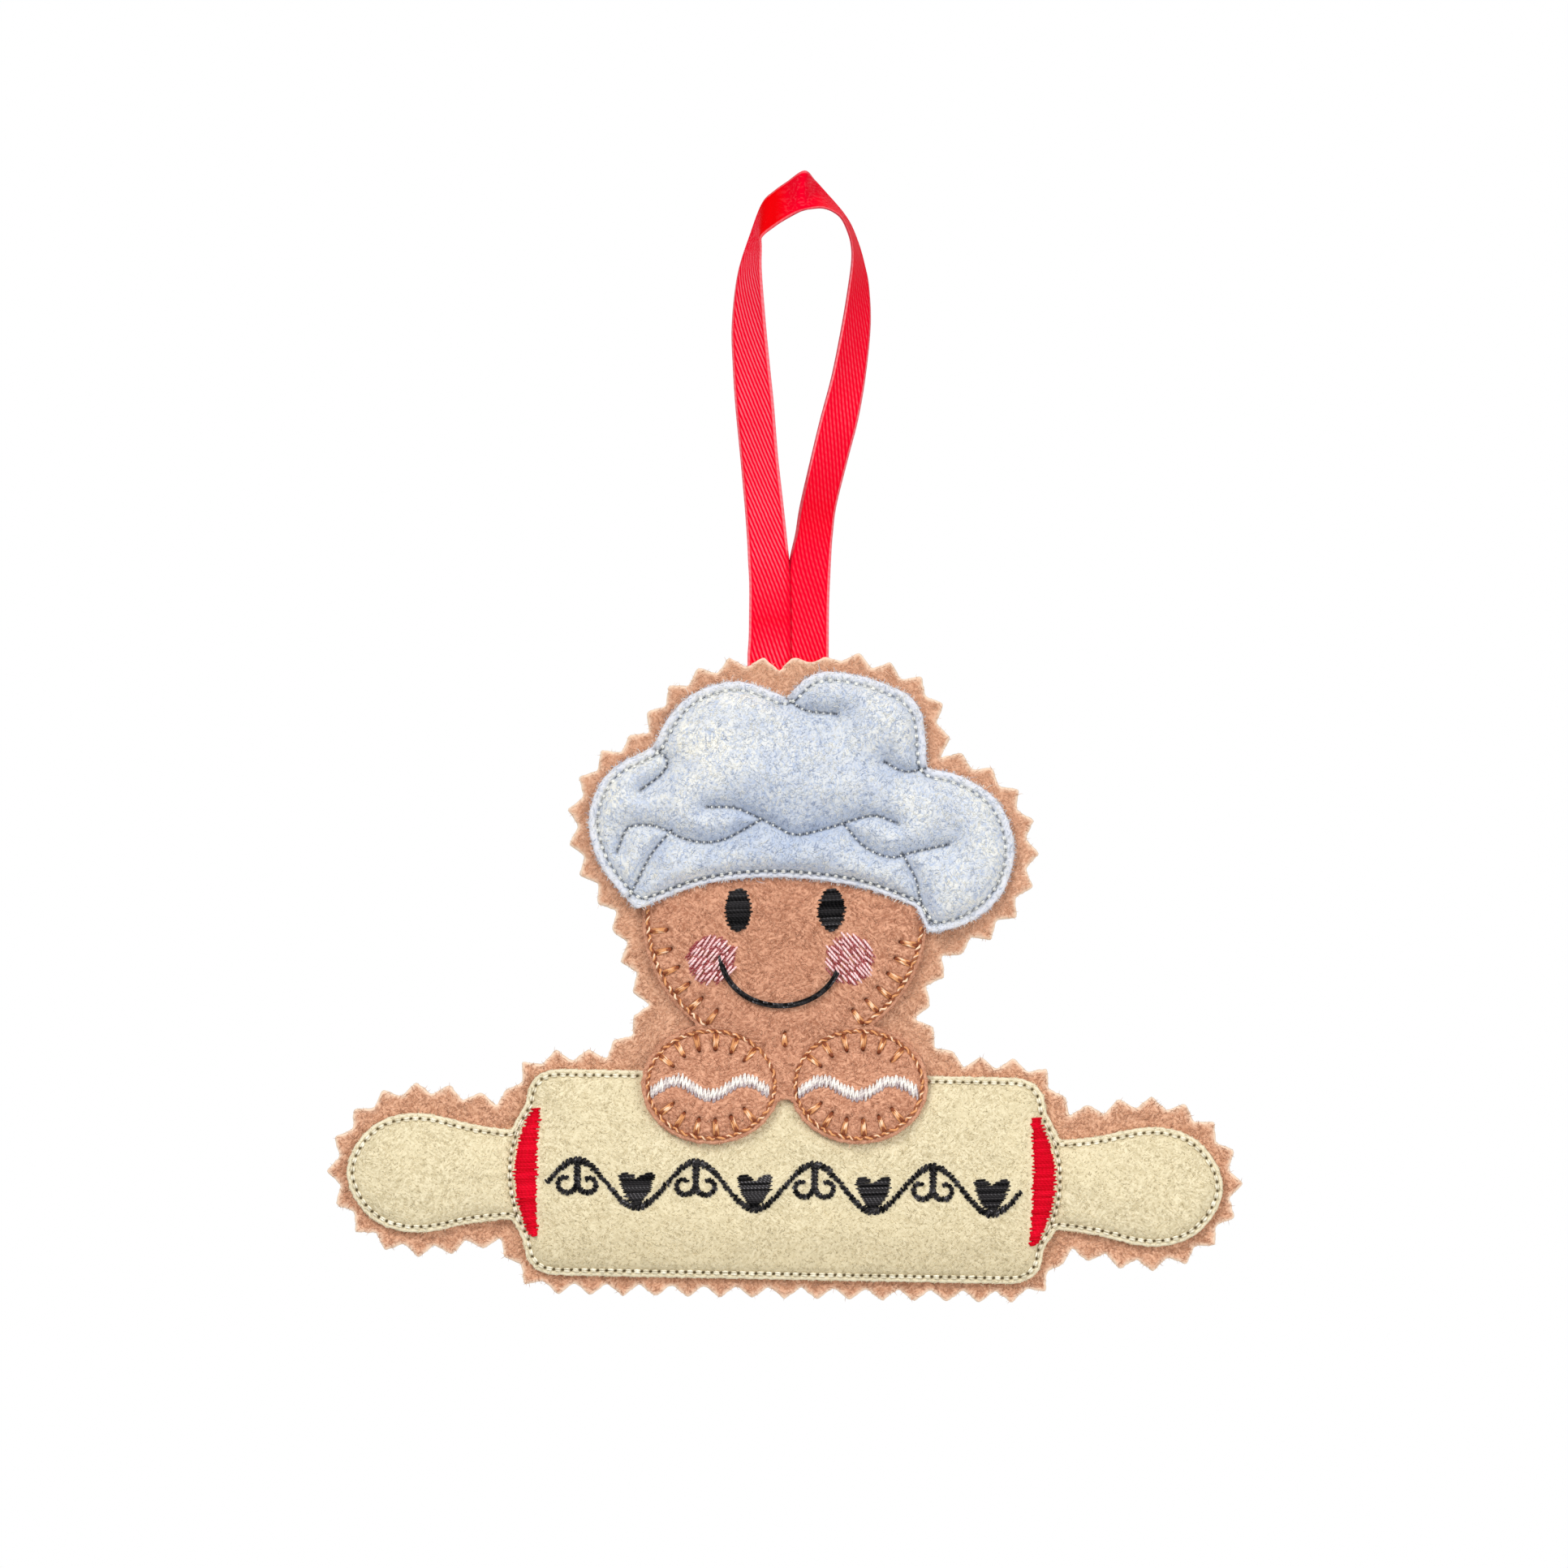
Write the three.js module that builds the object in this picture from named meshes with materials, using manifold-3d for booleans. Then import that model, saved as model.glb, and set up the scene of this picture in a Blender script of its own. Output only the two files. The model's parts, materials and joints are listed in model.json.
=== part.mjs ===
// A felt Christmas ornament: a gingerbread figure in a cook's hat peeps over a rolling pin. The felts are
// sewn to a pinked base, and a loop of satin ribbon, caught between the base felts, hangs it up.
// Millimetres, +Z up, the front faces -Y. The origin is the inside top of the ribbon loop.
// Every piece is drawn in panel coordinates, x to the right, y up and z towards the viewer, measured from
// the place where the ribbon leaves the felt, and is stood upright when its mesh is made.
import * as THREE from 'three';
import { mergeVertices } from 'three/addons/utils/BufferGeometryUtils.js';
import Module from 'manifold-3d';

const wasm = await Module();
wasm.setup();

// Sheets, ribbon and thread
const FELT = 1.2;
const NAP_GAP = 0.15;
const STABILISER = 0.4;
const RIBBON_WIDTH = 6;
const RIBBON = 0.4;
const RIBBON_SPACING = 0.24;
const FLEX_GAP = 0.5;
const THREAD_GAP = 0.25;
const THREAD = 0.4;
const SATIN = 0.45;
const RUN_WIDTH = 0.7;
const RUN_PITCH = 3.1;
const SATIN_ROW = 1;
const SATIN_JAG = 0.12;

// The loop and the sewn-in tails
const LOOP_DROP = 64.3;
const RIBBON_X = 0.55;
const TAIL_LENGTH = 12;

// The pinked base
const BASE_MARGIN = 2;
// How much wider the margin is round the hat, the head, the paws and the handles, and how far it is shifted
const HAT_MARGIN = 0.6;
const HAT_MARGIN_RIGHT = 0.2;
const HAT_MARGIN_DROP = 0.3;
const HEAD_MARGIN = 1.25;
const LEFT_PAW_MARGIN = 2.6;
const RIGHT_PAW_MARGIN = 1.2;
const HANDLE_MARGIN = 1.25;
const HANDLE_MARGIN_INWARDS = 1.15;
const HANDLE_MARGIN_RISE = 0.4;
const TOOTH_PITCH = 4.8;
const TOOTH_DEPTH = 1.9;
const CORNER_SOFTNESS = 1.2;
const TOOTH_CLEAR = 0.4;
const TRACE_STEP = 0.6;
const SEW_INSET = 0.85;

// The cook's hat
const HAT_WIDTH = 62.9;
const HAT_HEIGHT = 38.6;
const HAT_X = 2.5;
const HAT_TOP_GAP = 2.7;
const HAT_PUFF = 1.9;
const PUFF_REACH = 7.5;
const HAT_CELL = 2.1;
const CREASE_HALF = 0.55;

// The gingerbread figure: head and two paws cut from one felt
const HEAD_HALF_WIDTH = 21.1;
const HEAD_HALF_HEIGHT = 20.3;
const HEAD_BELOW_HAT = 16.9;
const HEAD_TUCK = 4.2;
const PAW_HALF_WIDTH = 10.3;
const PAW_HALF_HEIGHT = 8.8;
const PAW_X = 10.9;
const PAW_BELOW_CHIN = 4.4;
const BRIDGE_DEPTH = 2.2;
const RAMP_LENGTH = 3;
const EYE_HALF_WIDTH = 2.05;
const EYE_HALF_HEIGHT = 3.2;
const EYE_X = 6.9;
const EYE_RISE = 1.1;
const CHEEK_RADIUS = 3.45;
const FACE_X = -0.6;
const CHEEK_X = 10.2;
const CHEEK_BELOW = 6.3;
const CHEEK_ROW = 0.75;
const CHEEK_THREAD = 0.4;
const CHEEK_SLANT = THREE.MathUtils.degToRad(60);
const MOUTH_HALF_WIDTH = 8.9;
const MOUTH_DROP = 7.6;
const MOUTH_BELOW = 5.5;
const MOUTH_THREAD = 0.85;
const ICING_WIDTH = 1.45;
const ICING_WAVE = 1.1;
const ICING_LENGTH = 16.7;
const ICING_PERIOD = 10.3;
const ICING_DROP = 0.4;
const SPIKE_LENGTH = 2.8;
const SPIKE_WIDTH = 0.6;
const SPIKE_PITCH = 3.15;

// The rolling pin
const BARREL_HALF_LENGTH = 38.4;
const BARREL_HALF_HEIGHT = 15.25;
const BARREL_CORNER = 5;
const BARREL_BULGE = 3.1;
const HANDLE_LENGTH = 26.4;
const HANDLE_HEIGHT = 17.7;
const HANDLE_DROP = 0.5;
const PIN_BELOW_PAWS = 13.6;
const PIN_TILT = THREE.MathUtils.degToRad(-1.1);
const BAND_END_GAP = 0.75;
const BAND_INSET = 2.1;
const BAND_CURVE = 0.2;

// The scroll embroidered on the barrel
const SCROLL_END_GAP = 3.4;
const SCROLL_DROP = 1.5;
const SCROLL_WAVE = 3.4;
const SCROLL_WAVES = 4;
const SCROLL_THICK = 0.95;
const SCROLL_THIN = 0.45;
const HEART_SIZE = 6.2;
const CURL_RADIUS = 1.7;
const CURL_DROP = 3.4;

// The share of a thread's width and height that is left at a needle hole
const HOLE_SHARE = 0.3;

// Counts
const OUTLINE_STEPS = 5;
const SETTLING_STEPS = 5;
const ELLIPSE_STEPS = 44;
const BARREL_STEPS = 6;
const BAND_ROWS = 18;
const RIBBON_STEPS = 2;
const CURL_STEPS = 16;
const HEAD_RUN_RISE = Math.PI / 6;
const SMILE_END = Math.PI * 1.9;
const CURL_TURNS = 1.7;
const CURL_CLOSING = 0.6;

// Places that follow from the sizes, from the ribbon down
const HAT_Y = -HAT_TOP_GAP - HAT_HEIGHT / 2;
const HEAD_Y = HAT_Y - HEAD_BELOW_HAT;
const EYE_Y = HEAD_Y + EYE_RISE;
const CHEEK_Y = HEAD_Y - CHEEK_BELOW;
const MOUTH_Y = HEAD_Y - MOUTH_BELOW;
const CHIN_Y = HEAD_Y - HEAD_HALF_HEIGHT;
const PAW_Y = CHIN_Y - PAW_BELOW_CHIN;
const PIN_Y = PAW_Y - PIN_BELOW_PAWS;
const SCROLL_LENGTH = 2 * (BARREL_HALF_LENGTH - SCROLL_END_GAP);

// Heights above the plane of the ribbon, towards the viewer
const BASE_BACK = RIBBON / 2 + NAP_GAP;
const BASE_FRONT = BASE_BACK + FELT;
const LOW_BACK = BASE_FRONT + NAP_GAP;
const LOW_FRONT = LOW_BACK + FELT;
const HIGH_BACK = LOW_FRONT + NAP_GAP;
const HIGH_FRONT = HIGH_BACK + FELT;
const SEAM_DEPTH = THREAD + THREAD_GAP + NAP_GAP;
const OVERRUN = FELT;

// The hat's edge, as shares of its width and height from its centre. Each row is one puff, from the notch
// before it to the notch after it: left side, crown left, crown right, right side.
const HAT_TIP_SHARE = [-0.387, -0.41];
const HAT_PUFF_SHARES = [
  [[-0.44, -0.315], [-0.483, -0.205], [-0.5, -0.045], [-0.454, 0.119], [-0.349, 0.212]],
  [[-0.315, 0.321], [-0.25, 0.424], [-0.145, 0.466], [-0.034, 0.402]],
  [[0.013, 0.48], [0.073, 0.503], [0.189, 0.461], [0.277, 0.365], [0.294, 0.131]],
  [[0.374, 0.103], [0.462, 0.004], [0.5, -0.173], [0.471, -0.348], [0.393, -0.46], [0.298, -0.5]],
];
const BRIM_CORNER_SHARE = [0.269, -0.4];
const BRIM_SHARES = [[0.13, -0.32], [-0.057, -0.285], [-0.225, -0.31], [-0.363, -0.391]];
// Quilting lines, in the same shares. The first and the last point of each lie on a seam or on another line.
const CREASE_SHARES = [
  [[-0.345, 0.205], [-0.315, 0.159], [-0.33, 0.106], [-0.372, 0.054]],
  [[-0.431, -0.18], [-0.405, -0.096], [-0.34, -0.093], [-0.265, -0.145], [-0.19, -0.145], [-0.098, -0.07]],
  [[-0.309, -0.114], [-0.355, -0.205], [-0.404, -0.36]],
  [[-0.219, -0.018], [-0.15, -0.025], [-0.062, -0.09], [-0.015, -0.124], [0.063, -0.097], [0.16, -0.052],
    [0.217, -0.075]],
  [[0.101, -0.087], [0.149, -0.17], [0.208, -0.21], [0.265, -0.188], [0.34, -0.162]],
  [[0.24, -0.206], [0.27, -0.3], [0.277, -0.36], [0.3, -0.46]],
  [[0.29, 0.13], [0.24, 0.117], [0.2, 0.15]],
  [[-0.033, 0.395], [0.01, 0.35], [0.077, 0.337]],
];
// The upper edge of a handle, from its root inside the barrel to its tip
const HANDLE_SHARES = [[0, 0.36], [0.28, 0.41], [0.58, 0.5], [0.8, 0.44], [0.94, 0.25], [1, 0]];
// A heart's cleft, then the two guiding points of its sides: across and up, across and up
const HEART_SHARES = [0.2, 0.75, 0.05, 0.45, 0.6];
// Rulings of the ribbon from the left leg over the arch to the right leg: outer edge and inner edge, as
// shares of the ribbon's width in x and of the drop in y, from the middle of the legs' ends.
const RIBBON_SHARES = [
  [-1.04, 0, -0.02, 0], [-1.02, 0.11, -0.02, 0.11], [-1.04, 0.231, -0.02, 0.231],
  [-1.24, 0.455, -0.26, 0.455], [-1.38, 0.679, -0.52, 0.679], [-1.38, 0.78, -0.59, 0.78],
  [-1.15, 0.894, -0.65, 0.894], [-0.94, 0.968, -0.67, 0.931], [-0.64, 1.039, -0.67, 0.957],
  [-0.34, 1.067, -0.34, 0.983], [-0.02, 1.088, -0.02, 1.002], [0.36, 1.112, 0.28, 1.016],
  [0.62, 1.095, 0.56, 1.021], [0.88, 1.076, 0.84, 1.022], [1.1, 1.047, 1.1, 1.017],
  [1.34, 1.017, 1.28, 1.006], [1.54, 0.998, 1.42, 0.987], [1.72, 0.965, 1.5, 0.959],
  [1.84, 0.924, 1.55, 0.922], [1.94, 0.856, 1.5, 0.856], [2.03, 0.78, 1.33, 0.78],
  [1.94, 0.618, 0.99, 0.618], [1.76, 0.521, 0.76, 0.521], [1.48, 0.455, 0.56, 0.455],
  [1.16, 0.343, 0.3, 0.343], [1.06, 0.233, 0.1, 0.233], [1.03, 0.11, 0.03, 0.11], [1.02, 0, 0.02, 0],
];

const TAN = { color: 0xd2a283, roughness: 0.95, metalness: 0 };
const BROWN = { color: 0xc08864, roughness: 0.95, metalness: 0 };
const CREAM = { color: 0xe0d9b6, roughness: 0.95, metalness: 0 };
const PALE_BLUE = { color: 0xd3dcea, roughness: 0.95, metalness: 0 };
const WHITE_SHEET = { color: 0xf0efe9, roughness: 0.9, metalness: 0 };
const RED_SATIN = { color: 0xf0283c, roughness: 0.45, metalness: 0 };
const BLACK_THREAD = { color: 0x1c1c1c, roughness: 0.5, metalness: 0 };
const WHITE_THREAD = { color: 0xf4f0ee, roughness: 0.5, metalness: 0 };
const PINK_THREAD = { color: 0xecb6c2, roughness: 0.5, metalness: 0 };
const RUST_THREAD = { color: 0xc87a3e, roughness: 0.5, metalness: 0 };
const CREAM_THREAD = { color: 0xefe9d5, roughness: 0.5, metalness: 0 };
const RED_THREAD = { color: 0xd81430, roughness: 0.5, metalness: 0 };

// Points and outlines in the panel's plane

function at(shares, width, height, x = 0, y = 0) {
  return new THREE.Vector2(x + shares[0] * width, y + shares[1] * height);
}

function hatPoint(shares) {
  return at(shares, HAT_WIDTH, HAT_HEIGHT, HAT_X, HAT_Y);
}

function splinePoints(shares, place) {
  const spline = new THREE.SplineCurve(shares.map(place));
  return spline.getPoints(OUTLINE_STEPS * (shares.length - 1));
}

function ellipse(x, y, halfWidth, halfHeight) {
  return new THREE.EllipseCurve(x, y, halfWidth, halfHeight).getPoints(ELLIPSE_STEPS).slice(1);
}

function hatOutline() {
  const shape = new THREE.Shape();
  const tip = hatPoint(HAT_TIP_SHARE);
  shape.moveTo(tip.x, tip.y);
  for (const puff of HAT_PUFF_SHARES) shape.splineThru(puff.map(hatPoint));
  const corner = hatPoint(BRIM_CORNER_SHARE);
  shape.lineTo(corner.x, corner.y);
  shape.splineThru(BRIM_SHARES.map(hatPoint));
  return tidy(shape.getPoints(OUTLINE_STEPS - 2)).reverse();
}

function onPin(point) {
  return point.rotateAround(new THREE.Vector2(), PIN_TILT).add(new THREE.Vector2(0, PIN_Y));
}

function barrelOutline() {
  const side = BARREL_HALF_HEIGHT - BARREL_CORNER;
  const radius = (side * side + BARREL_BULGE * BARREL_BULGE) / (2 * BARREL_BULGE);
  const swing = Math.asin(side / radius);
  const middle = BARREL_HALF_LENGTH + BARREL_BULGE - radius;
  const flat = BARREL_HALF_LENGTH - BARREL_CORNER;
  const shape = new THREE.Shape();
  shape.moveTo(-flat, -BARREL_HALF_HEIGHT);
  for (const way of [1, -1]) {
    shape.lineTo(way * flat, -way * BARREL_HALF_HEIGHT);
    shape.quadraticCurveTo(way * BARREL_HALF_LENGTH, -way * BARREL_HALF_HEIGHT,
      way * BARREL_HALF_LENGTH, -way * side);
    const facing = way > 0 ? 0 : Math.PI;
    shape.absarc(way * middle, 0, radius, facing - swing, facing + swing, false);
    shape.quadraticCurveTo(way * BARREL_HALF_LENGTH, way * BARREL_HALF_HEIGHT,
      way * flat, way * BARREL_HALF_HEIGHT);
  }
  return tidy(shape.getPoints(BARREL_STEPS)).map(onPin);
}

function handleOutline(way) {
  const root = BARREL_HALF_LENGTH;
  const upper = HANDLE_SHARES.map((shares) => at(shares, HANDLE_LENGTH, HANDLE_HEIGHT, root));
  const lower = upper.slice(0, -1).map((point) => new THREE.Vector2(point.x, -point.y));
  const edge = new THREE.SplineCurve([...lower, ...upper.reverse()]).getPoints(ELLIPSE_STEPS);
  const drop = new THREE.Vector2(0, -HANDLE_DROP);
  const placed = edge.map((point) => onPin(new THREE.Vector2(way * point.x, point.y).add(drop)));
  return way > 0 ? placed : placed.reverse();
}

function tidy(points) {
  return points.filter((point, i) => {
    const next = points[(i + 1) % points.length];
    return point.distanceTo(next) > NAP_GAP;
  });
}

// The distance from a point to a closed outline, negative inside it
function signedDistance(outline, point) {
  let best = Infinity;
  let inside = false;
  outline.forEach((a, i) => {
    const b = outline[(i + 1) % outline.length];
    best = Math.min(best, toSegment(point, a, b));
    const crosses = (a.y > point.y) !== (b.y > point.y);
    if (crosses && point.x < a.x + (point.y - a.y) / (b.y - a.y) * (b.x - a.x)) inside = !inside;
  });
  return inside ? -best : best;
}

function toSegment(point, a, b) {
  const along = b.clone().sub(a);
  const share = point.clone().sub(a).dot(along) / along.lengthSq();
  return a.clone().addScaledVector(along, THREE.MathUtils.clamp(share, 0, 1)).distanceTo(point);
}

function toLine(line, point) {
  let best = Infinity;
  for (let i = 1; i < line.length; i += 1) best = Math.min(best, toSegment(point, line[i - 1], line[i]));
  return best;
}

function direction(points, i, closed) {
  const count = points.length;
  const before = closed ? points[(i + count - 1) % count] : points[Math.max(i - 1, 0)];
  const after = closed ? points[(i + 1) % count] : points[Math.min(i + 1, count - 1)];
  return after.clone().sub(before).normalize();
}

// Points evenly spaced along a line, about spacing apart, in a count that is a multiple of unit
function spaced(points, spacing, closed, unit = 1) {
  const line = closed ? [...points, points[0]] : points;
  const walked = [0];
  for (let i = 1; i < line.length; i += 1) walked.push(walked[i - 1] + line[i].distanceTo(line[i - 1]));
  const total = walked[walked.length - 1];
  const count = Math.max(1, Math.round(total / spacing / unit)) * unit;
  const found = [];
  let k = 1;
  for (let i = 0; i < (closed ? count : count + 1); i += 1) {
    const goal = total * i / count;
    while (k < line.length - 1 && walked[k] < goal) k += 1;
    const share = (goal - walked[k - 1]) / (walked[k] - walked[k - 1]);
    found.push(line[k - 1].clone().lerp(line[k], share));
  }
  return found;
}

function inset(outline, depth) {
  return outline.map((point, i) => {
    const way = direction(outline, i, true);
    return point.clone().add(new THREE.Vector2(-way.y, way.x).multiplyScalar(depth));
  });
}

// The line that runs round all the outlines at one distance from them, its inner corners softened
function traceAround(outlines, level) {
  const field = (point) => {
    const total = outlines.reduce((sum, outline) =>
      sum + Math.exp(-signedDistance(outline, point) / CORNER_SOFTNESS), 0);
    return -CORNER_SOFTNESS * Math.log(total);
  };
  const nudge = TRACE_STEP / SETTLING_STEPS;
  const slope = (point) => new THREE.Vector2(
    field(new THREE.Vector2(point.x + nudge, point.y)) - field(new THREE.Vector2(point.x - nudge, point.y)),
    field(new THREE.Vector2(point.x, point.y + nudge)) - field(new THREE.Vector2(point.x, point.y - nudge)),
  ).normalize();
  const settle = (point) => {
    for (let i = 0; i < SETTLING_STEPS; i += 1) point.addScaledVector(slope(point), level - field(point));
    return point;
  };
  const line = [settle(new THREE.Vector2(0, PIN_Y - BARREL_HALF_HEIGHT - level))];
  do {
    const last = line[line.length - 1];
    const uphill = slope(last);
    line.push(settle(last.clone().add(new THREE.Vector2(-uphill.y, uphill.x).multiplyScalar(TRACE_STEP))));
  } while (line.length < 2 * SETTLING_STEPS || line[line.length - 1].distanceTo(line[0]) > TRACE_STEP);
  return line;
}

// The zigzag that pinking shears cut: a tooth and a valley in turn along the line
function pinked(line) {
  const corners = spaced(line, TOOTH_PITCH / 2, true, 2);
  return corners.map((point, i) => {
    const way = direction(corners, i, true);
    const out = (i % 2 ? -1 : 1) * TOOTH_DEPTH / 2;
    return point.clone().add(new THREE.Vector2(way.y, -way.x).multiplyScalar(out));
  });
}

// Solids in panel coordinates

function plate(outline, back, front) {
  const shape = new THREE.Shape(outline);
  return new THREE.ExtrudeGeometry(shape, { depth: front - back, bevelEnabled: false }).translate(0, 0, back);
}

function solid(geometry) {
  const bare = new THREE.BufferGeometry();
  bare.setAttribute('position', geometry.attributes.position);
  if (geometry.index) bare.setIndex(geometry.index);
  const welded = mergeVertices(bare);
  return new wasm.Manifold(new wasm.Mesh({
    numProp: 3,
    vertProperties: new Float32Array(welded.attributes.position.array),
    triVerts: new Uint32Array(welded.index.array),
  }));
}

function fromSolid(body) {
  const mesh = body.getMesh();
  const geometry = new THREE.BufferGeometry();
  geometry.setAttribute('position', new THREE.BufferAttribute(mesh.vertProperties, 3));
  geometry.setIndex(new THREE.BufferAttribute(mesh.triVerts, 1));
  return geometry;
}

function joined(geometries) {
  return geometries.map(solid).reduce((body, next) => body.add(next));
}

// A skin through rings of four points, closed at its ends or joined into a loop
function skin(rings, closed) {
  const places = rings.flat().flatMap((point) => point.toArray());
  const faces = [];
  const spans = closed ? rings.length : rings.length - 1;
  for (let i = 0; i < spans; i += 1) {
    const next = (i + 1) % rings.length;
    for (let k = 0; k < 4; k += 1) {
      const a = 4 * i + k;
      const b = 4 * i + (k + 1) % 4;
      const c = 4 * next + (k + 1) % 4;
      const d = 4 * next + k;
      faces.push(a, b, c, a, c, d);
    }
  }
  if (!closed) {
    const last = 4 * (rings.length - 1);
    faces.push(0, 2, 1, 0, 3, 2, last, last + 1, last + 2, last, last + 2, last + 3);
  }
  const geometry = new THREE.BufferGeometry();
  geometry.setAttribute('position', new THREE.Float32BufferAttribute(places, 3));
  geometry.setIndex(faces);
  return geometry;
}

// Thread laid along a line over a surface: fat in the middle of each stitch, thin at each needle hole,
// and whole at its two ends, where it meets another run
function stitches(line, closed, heightAt, pitch = RUN_PITCH, width = RUN_WIDTH, side = 1) {
  const points = spaced(line, pitch / 2, closed, 2);
  const rings = points.map((point, i) => {
    const end = !closed && (i === 0 || i === points.length - 1);
    const full = end || i % 2 ? 1 : HOLE_SHARE;
    const way = direction(points, i, closed);
    const across = new THREE.Vector2(way.y, -way.x).multiplyScalar(full * width / 2);
    const low = heightAt(point) + side * THREAD_GAP;
    const high = low + side * THREAD * full;
    const left = point.clone().sub(across);
    const right = point.clone().add(across);
    const ring = [
      new THREE.Vector3(left.x, left.y, low), new THREE.Vector3(right.x, right.y, low),
      new THREE.Vector3(right.x, right.y, high), new THREE.Vector3(left.x, left.y, high),
    ];
    return side > 0 ? ring.reverse() : ring;
  });
  return skin(rings, closed);
}

// A column of satin stitches along a line, with the jagged edges that its rows leave
function satin(line, halfWidth, back, row = SATIN_ROW) {
  const points = spaced(line, row, false);
  const left = [];
  const right = [];
  points.forEach((point, i) => {
    const way = direction(points, i, false);
    const jag = i % 2 ? SATIN_JAG : -SATIN_JAG;
    const across = new THREE.Vector2(way.y, -way.x);
    const half = halfWidth(i / (points.length - 1));
    right.push(point.clone().addScaledVector(across, half + jag));
    left.push(point.clone().addScaledVector(across, jag - half));
  });
  return plate([...right, ...left.reverse()], back, back + SATIN);
}

// The felts

function onLevel(level) {
  return () => level;
}

// The seam sinks into the back felt, so that the ornament lies flat
function backFelt(outline, pieces) {
  const reach = RUN_WIDTH / 2 + THREAD_GAP;
  const sunk = (level) => solid(
    plate(seamAround(pieces, level), -BASE_FRONT - OVERRUN, SEAM_DEPTH - BASE_FRONT),
  );
  const groove = sunk(reach - SEW_INSET).subtract(sunk(-reach - SEW_INSET));
  return fromSolid(solid(plate(outline, -BASE_FRONT, -BASE_BACK)).subtract(groove));
}

function seamAround(pieces, level = -SEW_INSET) {
  return spaced(traceAround(pieces, level), RUN_PITCH / 2, true, 2);
}

// The gingerbread felt lies on the base at the head and climbs over the edge of the pin at the paws
function gingerbreadLift(y) {
  const top = PIN_Y + BARREL_HALF_HEIGHT + NAP_GAP;
  const climb = THREE.MathUtils.clamp((top + RAMP_LENGTH + NAP_GAP - y) / RAMP_LENGTH, 0, 1);
  return climb * (HIGH_BACK - LOW_BACK);
}

function headOutline() {
  const top = HAT_Y + HEAD_TUCK + BRIM_SHARES[1][1] * HAT_HEIGHT;
  return ellipse(0, HEAD_Y, HEAD_HALF_WIDTH, HEAD_HALF_HEIGHT).filter((point) => point.y < top);
}

function pawOutline(way) {
  return ellipse(way * PAW_X, PAW_Y, PAW_HALF_WIDTH, PAW_HALF_HEIGHT);
}

function bridgeOutline() {
  const low = PAW_Y - BRIDGE_DEPTH;
  return [
    new THREE.Vector2(-PAW_X, low), new THREE.Vector2(PAW_X, low),
    new THREE.Vector2(PAW_X / 2, HEAD_Y), new THREE.Vector2(-PAW_X / 2, HEAD_Y),
  ];
}

// A level slab with rows across it at every change of slope, bent to the lift
function rampedSlab(back, front) {
  const top = HEAD_Y + HEAD_HALF_HEIGHT;
  const edge = PIN_Y + BARREL_HALF_HEIGHT + NAP_GAP;
  const rows = [PAW_Y - PAW_HALF_HEIGHT - OVERRUN, edge + NAP_GAP, edge + NAP_GAP + RAMP_LENGTH, top];
  const half = HEAD_HALF_WIDTH + OVERRUN;
  const rings = rows.map((y) => [
    new THREE.Vector3(-half, y, back + gingerbreadLift(y)),
    new THREE.Vector3(-half, y, front + gingerbreadLift(y)),
    new THREE.Vector3(half, y, front + gingerbreadLift(y)),
    new THREE.Vector3(half, y, back + gingerbreadLift(y)),
  ]);
  return skin(rings, false);
}

function gingerbreadOutlines() {
  return [headOutline(), bridgeOutline(), pawOutline(-1), pawOutline(1)];
}

function pinFelt(outlines) {
  return fromSolid(joined(outlines.map((outline) => plate(outline, LOW_BACK, LOW_FRONT))));
}

// A block that goes right through the layers, to cut with
function through(outline) {
  return plate(outline, BASE_BACK, HIGH_FRONT + HAT_PUFF + OVERRUN);
}

function gingerbreadFelt() {
  const cut = joined(gingerbreadOutlines().map(through));
  return fromSolid(cut.intersect(solid(rampedSlab(LOW_BACK, LOW_FRONT))));
}

function hatSeams() {
  return CREASE_SHARES.map((shares) => splinePoints(shares, hatPoint));
}

// The hat's face swells between its edge and its quilting lines, and stands clear of the head under its brim
function hatFelt(outline, seams) {
  const columns = Math.round(HAT_WIDTH / HAT_CELL);
  const rows = Math.round(HAT_HEIGHT / HAT_CELL);
  const slab = new THREE.BoxGeometry(HAT_WIDTH + OVERRUN, HAT_HEIGHT + OVERRUN, FELT, columns, rows, 1);
  slab.translate(HAT_X, HAT_Y, 0);
  const places = slab.attributes.position;
  const head = ellipse(0, HEAD_Y, HEAD_HALF_WIDTH, HEAD_HALF_HEIGHT);
  for (let i = 0; i < places.count; i += 1) {
    const point = new THREE.Vector2(places.getX(i), places.getY(i));
    const pinned = Math.min(-signedDistance(outline, point), ...seams.map((seam) =>
      Math.max(0, toLine(seam, point) - CREASE_HALF) + CREASE_HALF));
    const rise = 1 - THREE.MathUtils.clamp(pinned / PUFF_REACH, 0, 1);
    const overHead = THREE.MathUtils.clamp(1 - signedDistance(head, point) / PUFF_REACH, 0, 1);
    const face = LOW_FRONT + HAT_PUFF * (1 - rise * rise) + overHead * (HIGH_BACK - LOW_BACK);
    places.setZ(i, places.getZ(i) > 0 ? face : LOW_BACK);
  }
  const pocket = plate(grown(headOutline()), BASE_BACK, HIGH_BACK);
  return fromSolid(solid(slab).intersect(solid(through(outline))).subtract(solid(pocket)));
}

function grown(outline) {
  return inset(outline, -2 * NAP_GAP);
}

// How high a finished piece stands at a point
function faceOf(geometry) {
  const mesh = new THREE.Mesh(geometry, new THREE.MeshBasicMaterial());
  const caster = new THREE.Raycaster();
  const towards = new THREE.Vector3(0, 0, -1);
  const far = HIGH_FRONT + HAT_PUFF + LOOP_DROP;
  return (point) => {
    caster.set(new THREE.Vector3(point.x, point.y, far), towards);
    const hits = caster.intersectObject(mesh);
    return hits.length ? hits[0].point.z : LOW_FRONT;
  };
}

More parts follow.
